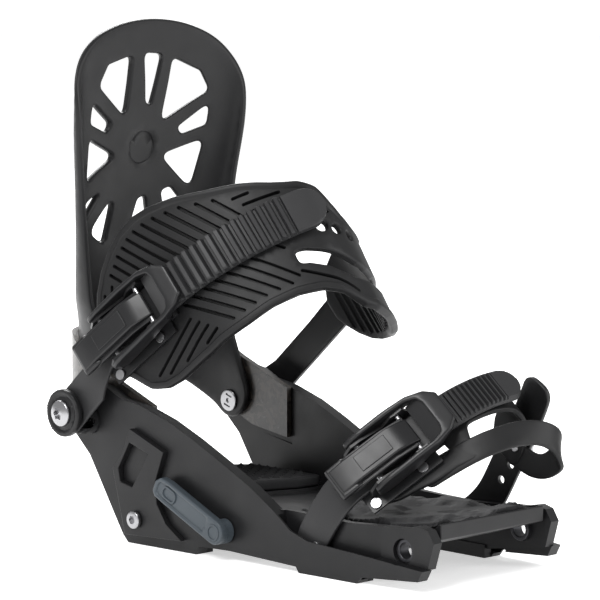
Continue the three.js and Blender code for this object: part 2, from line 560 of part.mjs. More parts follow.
// ---------------------------------------------------------------- ankle strap
const ankle = strapSpace({
  origin: ANKLE_AXIS, degrees: 42, start: 60, cone: 0.2,
  legs: [[30, 0], [8, 12], [54, 0], [20, 14], [60, 34], [24, 60], [48, 30], [18, 30]],
});
const PAD_PANEL = [
  [42, -22, 6], [47, -30, 14], [53, -38, 25], [62, -46, 31], [72, -52, 33], [83, -56, 33], [95, -57, 33],
  [105, -55, 32], [120, -50, 32], [135, -43, 31], [150, -37, 32], [158, -33, 33]];
const PAD_UPPER = [
  [155, -34, 6], [165, -29, 9], [176, -24, 14], [184, -20, 18], [188, -11, 20], [192, -1, 22], [202, 4, 24],
  [214, 6, 25], [226, 6, 25], [238, 5, 25], [248, 4, 25]];
const PAD_LOWER = [
  [155, 16, 33], [163, 20, 35], [170, 25, 39], [177, 31, 44], [186, 36, 49], [198, 38, 52], [212, 38, 53],
  [226, 36, 53], [238, 30, 52], [248, 24, 50]];
const PAD_END = [[242, 5, 51], [250, 2, 49], [258, 0, 45], [264, 0, 40], [270, 1, 32], [275, 3, 23], [278, 7, 16]];
const EXTENDER_TOP = [
  [246, 3, 14], [249, 0, 17], [254, -1, 19], [262, -1, 20], [275, 1, 20], [300, 2, 20], [335, 2, 20], [345, 0, 18]];
const LINK = { t: 257, w: 9.5 }; // screw joining pad and extender

function ankleStrap() {
  const bore = throughRod(ankle, LINK.t, LINK.w, 2.4, -2, 12);
  const axisBore = rod(ANKLE_AXIS.x, ANKLE_AXIS.z, 3.6, -90, 90);
  const rivetBores = buckle('ankle', ankle, 38, 65, -9);
  const bands = [PAD_PANEL, PAD_UPPER, PAD_LOWER, PAD_END].map((stations) => strip(ankle, stations, 0, PAD_SKIN));
  add('ankle_pad', cut(join(...bands), bore, ...rivetBores), LOOKS.strap);
  const foot = ankle.length;
  const extender = [...EXTENDER_TOP, [foot - 9, -9, 11], [foot - 4, -10, 10], [foot + 4, -10, 10],
    [foot + 9, -8, 8], [foot + 12, -4, 4]];
  add('ankle_extender', cut(strip(ankle, extender, 4.3, 7.3), bore, axisBore), LOOKS.strap);
  add('ankle_link_screw', join(throughRod(ankle, LINK.t, LINK.w, 2.1, -0.6, 9),
    throughRod(ankle, LINK.t, LINK.w, 5, 7.6, 9)), LOOKS.steel);
  const arm = [[-12, -4, 4], [-9, -8.5, 8.5], [-4, -11, 11], [0, -11.3, 11.3], [26, -11, 11], [40, -20, 2],
    [92, -20, 2]];
  const run = { half: 11, first: 96, last: 164, tip: 181, pitch: 5.2, from: -9, to: -6 };
  add('ankle_ladder', cut(ladder(ankle, arm, run), axisBore), LOOKS.ladder);
}
ankleStrap();

// ---------------------------------------------------------------- toe strap
const TOE_RISE = [[10, 0], [14, 14], [8, 24], [50, 0], [36, 42]];
const toePlane = { origin: TOE_AXIS, degrees: 50, start: 42.8 };
const toe = strapSpace({ ...toePlane, legs: [...TOE_RISE, [26, 95], [30, 5]] });
const toeStiff = strapSpace({ ...toePlane, legs: TOE_RISE }); // the ladder doesn't bend down the far side
const CAP_BODY = [[34, -14, 4], [38, -16, 9], [47, -16, 13], [58, -16, 15], [69, -15, 17]];
const CAP_REAR = [
  [66, -15, 0], [82, -14, 0], [96, -13, 1], [112, -13, 2], [124, -13, 4], [134, -13, 8], [142, -12, 12],
  [150, -10, 15], [157, -6, 16], [161, 0, 14]];
const CAP_JOINT = [[66, 9, 17], [80, 9, 18], [83, -4, 19], [88, 4, 20], [92, 9, 21]];
const CAP_FRONT = [
  [-14, -19, 50, 1, -1], [-4, -12, 58, 1, -1], [5, -4, 65, 1, -1], [12, 6, 70, 1, -1.2], [18, 19, 73, 1, -1.6],
  [23, 31, 72, 1, -3], [25, 40, 67, 0.4, -3], [22, 45.5, 59, 0, -1], [14, 46.1, 53, 0, -1], [5, 46.1, 52, 0, -1],
  [-6, 46.1, 56, 0, -1], [-12, 46.1, 59, 0, -1]];
const ADJUSTER = [
  [-60, 48.8, 12.5, 1, -1], [-54, 48.7, 14, 1, -1], [-42, 48.5, 20, 1, -1], [-33, 48.1, 27, 1, -1],
  [-26, 47.5, 35, 1, -0.8], [-18, 46.9, 48, 1, -0.6], [-10, 46.7, 62, 1, -0.6], [-3, 46.6, 75, 1, -0.6],
  [3, 45.6, 86, 1, -0.6], [8, 43.6, 95, 1, -0.6]];
const CLAMP = { x: -6, z: 60 }; // screw joining toe cap and adjuster

function toeStrap() {
  const clampBore = rod(CLAMP.x, CLAMP.z, 2.4, 30, 70, 14);
  const axisBore = rod(TOE_AXIS.x, TOE_AXIS.z, 2.4, -60, 60, 16);
  const rivetBores = buckle('toe', toe, 32, 62, -8);
  const bands = [CAP_BODY, CAP_REAR, CAP_JOINT].map((stations) => strip(toe, stations, 0, 3));
  add('toe_cap', cut(join(...bands, ribbon(CAP_FRONT, 13, 2.6)), clampBore, ...rivetBores), LOOKS.strap);
  const holes = [[-20, 41], [-13, 50]].map(([x, z]) => rod(x, z, 2.2, 30, 70, 14));
  add('toe_adjuster', cut(ribbon(ADJUSTER, 19, 2.6), clampBore, axisBore, ...holes), LOOKS.strap);
  add('toe_clamp_screw', join(rod(CLAMP.x, CLAMP.z, 2.1, 41.5, 52, 14), rod(CLAMP.x, CLAMP.z, 4.6, 49.9, 52, 16)),
    LOOKS.steel);
  const arm = [[-9, -9, 2], [-6, -13, 5], [0, -15, 6], [10, -16, 4.5], [26, -18, 2.5], [32, -18, 2], [78, -18, 2]];
  const run = { half: 10, first: 82, last: 118, tip: 132, pitch: 3, from: -8, to: -8 };
  add('toe_ladder', cut(ladder(toeStiff, arm, run), axisBore), LOOKS.ladder);
}
toeStrap();

// ---------------------------------------------------------------- origin at the middle of the footprint
const bounds = new THREE.Box3().setFromObject(binding);
const centre = bounds.getCenter(new THREE.Vector3());
binding.children.forEach((mesh) => mesh.position.set(-centre.x, -centre.y, -bounds.min.z));

export default binding;
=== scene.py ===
"""Looks for the touring snowboard binding: softened copies of the moulded parts, a smooth windowed
highback, ribbed straps and grippy footbeds, under plain studio light.
Shapes are written in millimetres in the design frame and moved to the row frame in metres."""

import json
import math

import bmesh
import bpy
import numpy as np
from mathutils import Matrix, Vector, noise
from mathutils.geometry import delaunay_2d_cdt

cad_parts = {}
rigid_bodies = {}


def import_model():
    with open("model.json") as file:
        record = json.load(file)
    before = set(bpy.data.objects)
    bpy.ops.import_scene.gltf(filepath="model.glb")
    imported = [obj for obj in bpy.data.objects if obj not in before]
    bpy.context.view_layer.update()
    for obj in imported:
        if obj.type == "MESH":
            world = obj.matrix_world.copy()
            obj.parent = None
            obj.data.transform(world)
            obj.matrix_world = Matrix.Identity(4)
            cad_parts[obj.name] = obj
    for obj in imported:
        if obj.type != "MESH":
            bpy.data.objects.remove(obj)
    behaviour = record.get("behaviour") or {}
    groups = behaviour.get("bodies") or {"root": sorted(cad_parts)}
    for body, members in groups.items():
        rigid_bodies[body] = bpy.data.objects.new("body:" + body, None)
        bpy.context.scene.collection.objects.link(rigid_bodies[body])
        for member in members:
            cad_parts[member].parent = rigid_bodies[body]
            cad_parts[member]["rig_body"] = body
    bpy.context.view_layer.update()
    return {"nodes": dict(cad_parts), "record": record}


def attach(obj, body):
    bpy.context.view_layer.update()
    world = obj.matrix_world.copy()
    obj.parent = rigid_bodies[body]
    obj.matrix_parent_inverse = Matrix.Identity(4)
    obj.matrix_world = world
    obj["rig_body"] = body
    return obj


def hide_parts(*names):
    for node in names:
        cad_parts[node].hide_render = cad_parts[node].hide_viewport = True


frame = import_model()
NODES = frame["nodes"]
BODY_OF = {name: NODES[name]["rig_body"] for name in NODES}
SLOT_OF = {s["node"]: s["material_slot"] for s in frame["record"]["subparts"]}
SHIFT = np.array((131.038, 3.794, 0.0))  # design frame to row frame, mm
ANKLE_HUB = (-226.5, 67)  # x, z of the bolts that the ankle strap turns on
HIGHBACK_AXIS = (-219, 63)
COVER_SCREW = (-180, 14)
TOE_SCREW = (-57, 15)
LOCK_AXIS = (-117.0, 15.5)
BEVEL_SEGMENTS = 2
BEVEL_FROM = 28  # degrees; edges that turn less than this stay as they are


# ------------------------------------------------------------------ materials
class Nodes:
    """A short way to wire shader nodes."""

    def __init__(self, name):
        self.material = bpy.data.materials.new(name)
        self.material.use_nodes = True
        self.tree = self.material.node_tree
        self.surface = self.tree.nodes["Principled BSDF"]
        coordinates = self.tree.nodes.new("ShaderNodeTexCoord")
        self.place = coordinates.outputs["Object"]

    def node(self, kind, values=(), **settings):
        made = self.tree.nodes.new(kind)
        for key, value in settings.items():
            setattr(made, key, value)
        for key, value in dict(values).items():
            if isinstance(value, bpy.types.NodeSocket):
                self.tree.links.new(value, made.inputs[key])
            else:
                made.inputs[key].default_value = value
        return made

    def noise(self, scale, detail=3.0, roughness=0.55):
        values = {"Vector": self.place, "Scale": scale, "Detail": detail, "Roughness": roughness}
        return self.node("ShaderNodeTexNoise", values).outputs["Fac"]

    def spread(self, value, low, high, start=0.3, end=0.7):
        values = {"Value": value, "From Min": start, "From Max": end, "To Min": low, "To Max": high}
        return self.node("ShaderNodeMapRange", values).outputs["Result"]

    def bump(self, height, strength, distance=0.0003):
        values = {"Height": height, "Strength": strength, "Distance": distance}
        return self.node("ShaderNodeBump", values).outputs["Normal"]

    def link(self, output, socket):
        self.tree.links.new(output, self.surface.inputs[socket])


def moulded(name, color, roughness, grain=0.25, grain_scale=1500, metallic=0.0, worn=0.06, specular=0.28):
    """A plain moulded, cast or painted surface with a fine grain."""
    n = Nodes(name)
    n.surface.inputs["Base Color"].default_value = (*color, 1)
    n.surface.inputs["Metallic"].default_value = metallic
    n.surface.inputs["Specular IOR Level"].default_value = specular
    n.link(n.spread(n.noise(60), roughness - worn, roughness + worn), "Roughness")
    n.link(n.bump(n.noise(grain_scale, 2.0), grain, 0.00012), "Normal")
    return n.material


def forged(name):
    """Chopped-fibre composite: flakes of fibre turned every way, under a thin satin lacquer."""
    n = Nodes(name)
    warp = n.node("ShaderNodeTexNoise", {"Vector": n.place, "Scale": 90.0, "Detail": 2.0})
    shifted = n.node("ShaderNodeMix", {0: 0.06, 4: n.place, 5: warp.outputs["Color"]}, data_type="VECTOR")
    flakes = n.node(
        "ShaderNodeTexVoronoi", {"Vector": shifted.outputs[1], "Scale": 150.0}, distance="MANHATTAN")
    tone = n.node("ShaderNodeValToRGB", {0: flakes.outputs["Color"]})
    ramp = tone.color_ramp
    ramp.elements[0].position, ramp.elements[0].color = 0.25, (0.006, 0.0055, 0.0052, 1)
    ramp.elements[1].position, ramp.elements[1].color = 0.8, (0.040, 0.033, 0.027, 1)
    n.link(tone.outputs["Color"], "Base Color")
    n.link(n.spread(flakes.outputs["Distance"], 0.24, 0.42, 0.0, 0.6), "Roughness")
    n.surface.inputs["Coat Weight"].default_value = 0.3
    n.surface.inputs["Coat Roughness"].default_value = 0.2
    return n.material


LOOKS = {
    "moulded_black": moulded("moulded_black", (0.0085, 0.0085, 0.0092), 0.42, 0.3, 1300),
    "forged_composite": forged("forged_composite"),
    "grip_foam": moulded("grip_foam", (0.013, 0.013, 0.014), 0.70, 0.5, 1100, specular=0.25),
    "strap_rubber": moulded("strap_rubber", (0.0075, 0.0075, 0.0080), 0.48, 0.3, 1500),
    "strap_tab": moulded("strap_tab", (0.0075, 0.0075, 0.0080), 0.40, 0.2, 1700, specular=0.35),
    "ladder_grey": moulded("ladder_grey", (0.022, 0.022, 0.023), 0.48, 0.3, 1500),
    "buckle_black": moulded("buckle_black", (0.009, 0.009, 0.0098), 0.36, 0.12, 2200, specular=0.36),
    "lever_grey": moulded("lever_grey", (0.045, 0.056, 0.066), 0.42, 0.2, 1800, specular=0.35),
    "steel": moulded("steel", (0.36, 0.36, 0.37), 0.30, 0.06, 2500, metallic=1.0, worn=0.05),
    "dark_steel": moulded("dark_steel", (0.05, 0.05, 0.055), 0.35, 0.15, 2200, metallic=0.7),
}


# ------------------------------------------------------------------ pieces
def finish_mesh(mesh, sharp_degrees):
    """Outward, smooth-shaded faces, with creases over the given angle kept sharp."""
    bm = bmesh.new()
    bm.from_mesh(mesh)
    bmesh.ops.remove_doubles(bm, verts=bm.verts, dist=2e-6)
    bmesh.ops.dissolve_degenerate(bm, dist=1e-6, edges=bm.edges)
    bmesh.ops.recalc_face_normals(bm, faces=bm.faces)
    limit = math.radians(sharp_degrees)
    for face in bm.faces:
        face.smooth = True
    for edge in bm.edges:
        edge.smooth = not (edge.is_manifold and edge.calc_face_angle(0.0) > limit)
    bm.to_mesh(mesh)
    bm.free()


def add_piece(name, mesh, node, *more):
    """Puts a mesh on the body and slot of a CAD node, which it stands for along with any others."""
    piece = bpy.data.objects.new(name, mesh)
    bpy.context.scene.collection.objects.link(piece)
    mesh.materials.clear()
    mesh.materials.append(LOOKS[SLOT_OF[node]])
    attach(piece, BODY_OF[node])
    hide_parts(node, *more)
    return piece


def mesh_of(name, points, faces, sharp_degrees=40):
    """A mesh from design-frame points in millimetres."""
    mesh = bpy.data.meshes.new(name)
    placed = (np.asarray(points, float) + SHIFT) / 1000
    mesh.from_pydata(placed.tolist(), [], [tuple(face) for face in faces])
    finish_mesh(mesh, sharp_degrees)
    return mesh


def softened(node, bevel):
    """A copy of a CAD node with its edges rounded."""
    mesh = NODES[node].data.copy()
    bm = bmesh.new()
    bm.from_mesh(mesh)
    bmesh.ops.remove_doubles(bm, verts=bm.verts, dist=2e-6)
    bmesh.ops.dissolve_limit(
        bm, angle_limit=math.radians(1.2), verts=bm.verts, edges=bm.edges, use_dissolve_boundaries=False)
    bm.to_mesh(mesh)
    bm.free()
    result = bevelled(mesh, bevel)
    result.name = f"soft_{node}"
    return add_piece(f"soft_{node}", result, node)


def bevelled(mesh, bevel):
    """The mesh with its edges rounded and its flat faces kept flat."""
    for name in ("sharp_edge", "custom_normal"):
        if name in mesh.attributes:
            mesh.attributes.remove(mesh.attributes[name])
    mesh.polygons.foreach_set("use_smooth", [True] * len(mesh.polygons))
    work = bpy.data.objects.new("work", mesh)
    bpy.context.scene.collection.objects.link(work)
    rounding = work.modifiers.new("rounding", "BEVEL")
    rounding.width = bevel / 1000
    rounding.segments = BEVEL_SEGMENTS
    rounding.limit_method = "ANGLE"
    rounding.angle_limit = math.radians(BEVEL_FROM)
    rounding.use_clamp_overlap = True
    weight = work.modifiers.new("weight", "WEIGHTED_NORMAL")
    weight.keep_sharp = True
    graph = bpy.context.evaluated_depsgraph_get()
    result = bpy.data.meshes.new_from_object(work.evaluated_get(graph))
    bpy.data.objects.remove(work)
    return result


# ------------------------------------------------------------------ loops on a flat pattern
def rounded(points, radius, steps=6):
    """A closed outline with its corners rounded."""
    corners = [np.array(p, float) for p in points]
    out = []
    for i, corner in enumerate(corners):
        back, ahead = corners[i - 1] - corner, corners[(i + 1) % len(corners)] - corner
        reach = np.linalg.norm(back), np.linalg.norm(ahead)
        back, ahead = back / reach[0], ahead / reach[1]
        angle = math.acos(float(np.clip(back @ ahead, -1, 1)))
        if angle > math.radians(177):
            out.append(corner)
            continue
        take = min(radius / math.tan(angle / 2), 0.48 * reach[0], 0.48 * reach[1])
        start, end = corner + back * take, corner + ahead * take
        for k in range(steps + 1):
            s = k / steps
            out.append((1 - s) ** 2 * start + 2 * s * (1 - s) * corner + s * s * end)
    return np.array(out)


def dense(loop, step):
    """The same closed outline with points no further apart than step, turning anticlockwise."""
    out = []
    for a, b in zip(loop, np.roll(loop, -1, 0)):
        count = max(1, math.ceil(np.linalg.norm(b - a) / step - 1e-6))
        out.extend(a + (b - a) * k / count for k in range(count))
    out = np.array([p for i, p in enumerate(out) if np.linalg.norm(p - out[i - 1]) > 1e-4])
    x, y = out[:, 0], out[:, 1]
    turned = np.sum(x * np.roll(y, -1) - np.roll(x, -1) * y)
    return out if turned > 0 else out[::-1]


def eased(loop, step, rounds):
    """A closed outline with its small corners smoothed away."""
    loop = dense(loop, step)
    for _ in range(rounds):
        loop = 0.25 * np.roll(loop, 1, 0) + 0.5 * loop + 0.25 * np.roll(loop, -1, 0)
    return loop


def inset(loop, distance):
    """The anticlockwise outline moved inwards."""
    run = np.roll(loop, -1, 0) - np.roll(loop, 1, 0)
    run /= np.linalg.norm(run, axis=1)[:, None]
    return loop + distance * np.stack((-run[:, 1], run[:, 0]), 1)


def within(points, loop):
    """Which points are inside a closed outline."""
    x, y = points[:, 0], points[:, 1]
    hit = np.zeros(len(points), bool)
    for (x0, y0), (x1, y1) in zip(loop, np.roll(loop, -1, 0)):
        if y0 == y1:
            continue
        crosses = (y0 > y) != (y1 > y)
        hit ^= crosses & (x < (x1 - x0) * (y - y0) / (y1 - y0) + x0)
    return hit


def capsule(a, b, half, steps=5):
    """A slot outline between two points."""
    a, b = np.array(a, float), np.array(b, float)
    run = (b - a) / np.linalg.norm(b - a)
    side = np.array((-run[1], run[0]))
    turns = np.linspace(-math.pi / 2, math.pi / 2, steps + 1)
    tip = [half * (math.cos(turn) * run + math.sin(turn) * side) for turn in turns]
    return np.array([b + spot for spot in tip] + [a - spot for spot in tip])


def circle(x, y, radius, steps=24):
    """A round outline."""
    turn = np.linspace(0, 2 * math.pi, steps, endpoint=False)
    return np.stack((x + radius * np.cos(turn), y + radius * np.sin(turn)), 1)


def no_change(loop):
    return loop


def sheet(name, outline, rim, place, holes=(), hole_rim=(), recesses=(), recess_rim=(), spacing=4.0,
          convert=no_change, relief=None, sharp=48):
    """
    A closed sheet cut from a flat pattern. rim, hole_rim and recess_rim are [inset, top, bottom] steps from
    each kind of outline towards the field; a recess steps inwards to its own floor. place puts
    (u, v, height) in space.
    """
    points, heights, edges = [], [], []

    def add_loop(loop, top, bottom):
        first = len(points)
        points.extend(loop)
        heights.extend([(top, bottom)] * len(loop))
        edges.extend((first + i, first + (i + 1) % len(loop)) for i in range(len(loop)))

    for distance, top, bottom in rim:
        add_loop(inset(outline, distance), top, bottom)
    for hole in holes:
        for distance, top, bottom in hole_rim:
            add_loop(convert(inset(hole, -distance)), top, bottom)
    for recess in recesses:
        for distance, top, bottom in recess_rim:
            add_loop(convert(inset(recess, distance)), top, bottom)
    fixed = np.array(points)
    low, high = outline.min(0), outline.max(0)
    across = np.arange(low[0] + spacing / 2, high[0], spacing)
    along = np.arange(low[1] + spacing / 2, high[1], spacing * 0.87)
    grid = np.array([(u + (spacing / 2) * (i % 2), v) for i, v in enumerate(along) for u in across])
    grid = grid[within(grid, outline)]
    clear = np.array([np.min(np.sum((fixed - p) ** 2, 1)) > (0.42 * spacing) ** 2 for p in grid])
    grid = grid[clear]
    floors = [convert(inset(recess, recess_rim[-1][0])) for recess in recesses]
    sunk = np.zeros(len(grid), bool)
    for floor in floors:
        sunk |= within(grid, floor)
    field = rim[-1][1:]
    points.extend(grid)
    heights.extend((recess_rim[-1][1], field[1]) if deep else field for deep in sunk)

    flat = [Vector((float(p[0]), float(p[1]))) for p in points]
    out, _, triangles, sources, _, _ = delaunay_2d_cdt(flat, edges, [], 0, 1e-4, True)
    spots = np.array([(v.x, v.y) for v in out])
    given = np.array(points)
    level = []
    for i, source in enumerate(sources):
        if source:
            level.append(heights[source[0]])
        else:
            level.append(heights[int(np.argmin(np.sum((given - spots[i]) ** 2, 1)))])
    level = np.array(level)
    if relief:
        level[:, 0] += [relief(u, v) for u, v in spots]
    triangles = np.array([t for t in triangles if len(t) == 3])
    centres = spots[triangles].mean(1)
    keep = within(centres, outline)
    for hole in holes:
        keep &= ~within(centres, convert(hole))
    triangles = triangles[keep]
    used = sorted(set(triangles.ravel()))
    index = {old: new for new, old in enumerate(used)}
    triangles = [tuple(index[int(k)] for k in t) for t in triangles]
    count = len(used)
    placed = [place(*spots[i], level[i, 0]) for i in used] + [place(*spots[i], level[i, 1]) for i in used]
    faces = list(triangles) + [(c + count, b + count, a + count) for a, b, c in triangles]
    directed = {(t[k], t[(k + 1) % 3]) for t in triangles for k in range(3)}
    for a, b in directed:
        if (b, a) not in directed:
            faces.append((b, a, a + count, b + count))
    return mesh_of(name, placed, faces, sharp)


# ------------------------------------------------------------------ curved places
class Strap:
    """(t along, w across, h out) on a strap that starts upwards and turns over in a slanted plane."""

    def __init__(self, origin, degrees, start, legs, cone=0.0):
        angle = math.radians(degrees)
        self.origin = np.array((origin[0], 0.0, origin[1]))
        self.along = np.array((math.cos(angle), 0, math.sin(angle)))
        self.across = np.array((math.sin(angle), 0, -math.cos(angle)))
        self.start, self.legs, self.cone = start, legs, cone
        self.length = sum(leg[0] for leg in legs)
        self.length += self.walk(self.length)[1]

    def walk(self, t):
        """The side position, the rise and the lean at t."""
        y, rise, lean = -self.start, min(t, 0.0), 0.0
        left = max(t, 0.0)
        for length, turn in [*self.legs, (math.inf, 0)]:
            run = min(left, length)
            bend = math.radians(turn) * run / length if turn else 0.0
            chord = run * math.sin(bend / 2) / (bend / 2) if bend else run
            y += chord * math.sin(lean + bend / 2)
            rise += chord * math.cos(lean + bend / 2)
            lean += bend
            left -= run
        return y, rise, lean

    def place(self, t, w, h):
        y, rise, lean = self.walk(t)
        out = np.array((0.0, -math.cos(lean), 0.0)) + math.sin(lean) * self.along
        point = self.origin + np.array((0.0, y, 0.0)) + rise * self.along
        return point + out * (h - self.cone * w * math.sin(lean) ** 2) + w * self.across


class Ribbon:
    """(s along, w across, h out) on a smooth band through centre points [x, y, z, width x, width z]."""

    def __init__(self, points, steps=12):
        given = np.array(points, float)
        padded = np.vstack((2 * given[0] - given[1], given, 2 * given[-1] - given[-2]))
        rows = []
        for i in range(1, len(padded) - 2):
            a, b, c, d = padded[i - 1:i + 3]
            for k in range(steps):
                s = k / steps
                rows.append(0.5 * (2 * b + (c - a) * s + (2 * a - 5 * b + 4 * c - d) * s ** 2
                                   + (3 * b - a - 3 * c + d) * s ** 3))
        rows = np.array([*rows, given[-1]])
        self.centre = rows[:, :3]
        run = np.gradient(self.centre, axis=0)
        run /= np.linalg.norm(run, axis=1)[:, None]
        wide = np.stack((rows[:, 3], np.zeros(len(rows)), rows[:, 4]), 1)
        wide /= np.linalg.norm(wide, axis=1)[:, None]
        wide -= np.sum(wide * run, 1)[:, None] * run
        wide /= np.linalg.norm(wide, axis=1)[:, None]
        self.wide, self.out = wide, np.cross(run, wide)
        gaps = np.linalg.norm(np.diff(self.centre, axis=0), axis=1)
        self.s = np.concatenate(([0], np.cumsum(gaps)))
        self.length = float(self.s[-1])

    def at(self, table, s):
        return np.array([np.interp(s, self.s, table[:, k]) for k in range(3)])

    def place(self, s, w, h):
        return self.at(self.centre, s) + w * self.at(self.wide, s) + h * self.at(self.out, s)

    def nearest(self, x, z):
        """(s, w) of the point of the band beside (x, z)."""
        s = float(self.s[int(np.argmin(np.hypot(self.centre[:, 0] - x, self.centre[:, 2] - z)))])
        away = np.array((x, 0, z)) - self.at(self.centre, s) * (1, 0, 1)
        return s, float(away @ self.at(self.wide, s))


def band(stations):
    """The outline of a band given by stations (t, w0, w1)."""
    return [(t, w1) for t, _, w1 in stations] + [(t, w0) for t, w0, _ in reversed(stations)]


def edge_steps(top, bottom, radius, lip=0.0, width=0.0):
    """Rim steps that round both edges of a sheet, with an optional raised lip of that width."""
    turns = [math.radians(a) for a in (0, 30, 60, 90)]
    steps = [[radius * (1 - math.cos(a)), top + lip - radius * (1 - math.sin(a)),
              bottom + radius * (1 - math.sin(a))] for a in turns]
    if lip:
        steps += [[width, top + lip, bottom], [width + 0.5, top + 0.15 * lip, bottom],
                  [width + 0.9, top, bottom]]
    return steps


def slot_steps(top, bottom, depth):
    """Steps down the steep side of a slot."""
    return [[0.0, top, bottom], [0.25, top - 0.25 * depth, bottom], [0.45, top - depth, bottom]]


# ------------------------------------------------------------------ highback
SHELL = 4.0  # thickness of the highback
# the highback's sections: height, half width, x of the spine, depth from the spine to the front edge
SECTIONS = [
    (50, 48, -271, 48), (104, 48, -271, 48), (112, 50, -267.5, 43), (125, 53.5, -262, 33),
    (150, 55.5, -256, 27), (183, 57.5, -250, 21), (215, 62, -244.5, 19), (240, 63.5, -240.5, 17),
    (280, 63.5, -236, 15)]
EARS_TOP = 140  # height above which the outline is smoothed more
EAR_ROUNDS, TOP_ROUNDS = 16, 110
SIDE_EDGE = [
    (-255, 76), (-231, 60), (-226, 55), (-219, 52.5), (-211, 56), (-206, 63), (-206, 71), (-213, 87),
    (-219, 102), (-225, 118), (-227, 150), (-228, 183), (-224, 215), (-222.5, 236)]
TOP_EDGE = [(61, 250), (53, 261), (42, 268), (22, 274), (0, 276)]
WINDOWS = [
    [(-13, 256), (-33, 251), (-40, 240), (-15, 222)], [(-4, 257), (10, 256), (4, 228), (0, 230)],
    [(18, 254), (38, 246), (45, 235), (13, 218)], [(-45, 232), (-26, 219), (-29, 214), (-46, 220)],
    [(46, 228), (45, 216), (29, 211), (26, 215)], [(-46, 212), (-19, 201), (-46, 187)],
    [(44, 208), (38, 181), (16, 200)], [(-29, 183), (-46, 176), (-46, 166)],
    [(-17, 180), (-38, 160), (-22, 152)], [(19, 180), (25, 182), (40, 166), (27, 156)],
    [(7, 178), (2, 176), (-4, 152), (14, 154)]]


class Shell:
    """(s around, z up, h inwards) on the highback; s = 0 is the spine and s is measured on the outside."""

    def __init__(self):
        rows = np.array(SECTIONS, float)
        self.levels = np.arange(48.0, 284.0, 2.0)
        plain = [np.interp(self.levels, rows[:, 0], rows[:, k]) for k in (1, 2, 3)]
        weights = np.array((1, 2, 3, 2, 1)) / 9
        self.shape = [np.convolve(np.pad(p, 2, mode="edge"), weights, "valid") for p in plain]
        self.turns = np.linspace(0, math.pi / 2, 40)

    def section(self, z):
        return [float(np.interp(z, self.levels, p)) for p in self.shape]

    def lengths(self, z):
        half, _, depth = self.section(z)
        pace = np.hypot(depth * np.sin(self.turns), half * np.cos(self.turns))
        return np.concatenate(([0], np.cumsum((pace[1:] + pace[:-1]) / 2 * np.diff(self.turns))))

    def place(self, s, z, h):
        half, spine, depth = self.section(z)
        lengths = self.lengths(z)
        turn = float(np.interp(abs(s), lengths, self.turns))
        over = max(0.0, abs(s) - lengths[-1])
        x = spine + h + (depth - h) * (1 - math.cos(turn)) + over
        return np.array((x, math.copysign((half - h) * math.sin(turn), s), z))

    def from_front(self, y, z):
        turn = math.asin(min(1.0, abs(y) / self.section(z)[0]))
        return math.copysign(float(np.interp(turn, self.turns, self.lengths(z))), y)

    def from_side(self, x, z):
        _, spine, depth = self.section(z)
        lengths = self.lengths(z)
        if x >= spine + depth:
            return lengths[-1] + x - spine - depth
        turn = math.acos(float(np.clip(1 - (x - spine) / depth, -1, 1)))
        return float(np.interp(turn, self.turns, lengths))

    def convert(self, loop):
        return np.array([(self.from_front(y, z), z) for y, z in loop])


def smoothed_outline(outline):
    """The wide top is smoothed more than the ears at the bolts."""
    for turn in range(TOP_ROUNDS):
        share = np.where((outline[:, 1:] > EARS_TOP) | (turn < EAR_ROUNDS), 1.0, 0.0)
        beside = np.roll(outline, 1, 0) + np.roll(outline, -1, 0)
        outline = outline + share * (0.25 * beside - 0.5 * outline)
    return outline


def highback():
    """The curved shell with its eleven windows and a plain round dish."""
    shell = Shell()
    side = [(shell.from_side(x, z), z) for x, z in SIDE_EDGE]
    top = [(shell.from_front(y, z), z) for y, z in TOP_EDGE]
    right = [(0.0, 77.0), (34.0, 76.6), *side, *top]
    left = [(-s, z) for s, z in reversed(right[1:-1])]
    outline = dense(smoothed_outline(dense(rounded(right + left, 14), 2.0)), 2.2)
    windows = [dense(rounded(points, 3.6), 1.6) for points in WINDOWS]
    rim = edge_steps(SHELL, 0, 1.6)
    hole_rim = [[0.0, SHELL - 1.3, 1.0], [0.35, SHELL - 0.55, 0.35], [0.9, SHELL - 0.1, 0.0],
                [1.5, SHELL, 0.0]]
    ring = dense(circle(0, 205, 9.4, 32), 2.0)
    dish = [[0.0, SHELL, 0.0], [0.5, SHELL - 0.35, 0.0], [0.9, SHELL - 0.8, 0.0]]
    mesh = sheet("highback_shell", outline, rim, shell.place, holes=windows, hole_rim=hole_rim,
                 recesses=[ring], recess_rim=dish, spacing=4.0, convert=shell.convert)
    add_piece("highback_shell", mesh, "highback")


highback()


# ------------------------------------------------------------------ ankle strap
ankle = Strap(ANKLE_HUB, 42, 60, [
    (30, 0), (8, 12), (54, 0), (20, 14), (60, 34), (24, 60), (48, 30), (18, 30)], cone=0.2)
PAD_REAR_EDGE = [
    (42, -22), (47, -30), (53, -38), (62, -46), (72, -52), (83, -56), (95, -57), (105, -55), (120, -50),
    (135, -43), (150, -37), (158, -33), (165, -29), (176, -24), (183, -18.5), (188, -9), (193, -2),
    (202, 2), (214, 3), (226, -1), (236, -7), (246, -12), (256, -14), (265, -11), (272, -5), (278, 4)]
PAD_FRONT_EDGE = [
    (278, 16), (275, 23), (270, 32), (264, 40), (258, 45), (250, 49), (240, 52), (226, 53), (212, 53),
    (198, 52), (186, 49), (177, 44), (170, 39), (163, 35), (150, 32), (135, 31), (120, 32), (105, 32),
    (95, 33), (83, 33), (72, 33), (62, 31), (53, 25), (47, 14), (42, 6)]
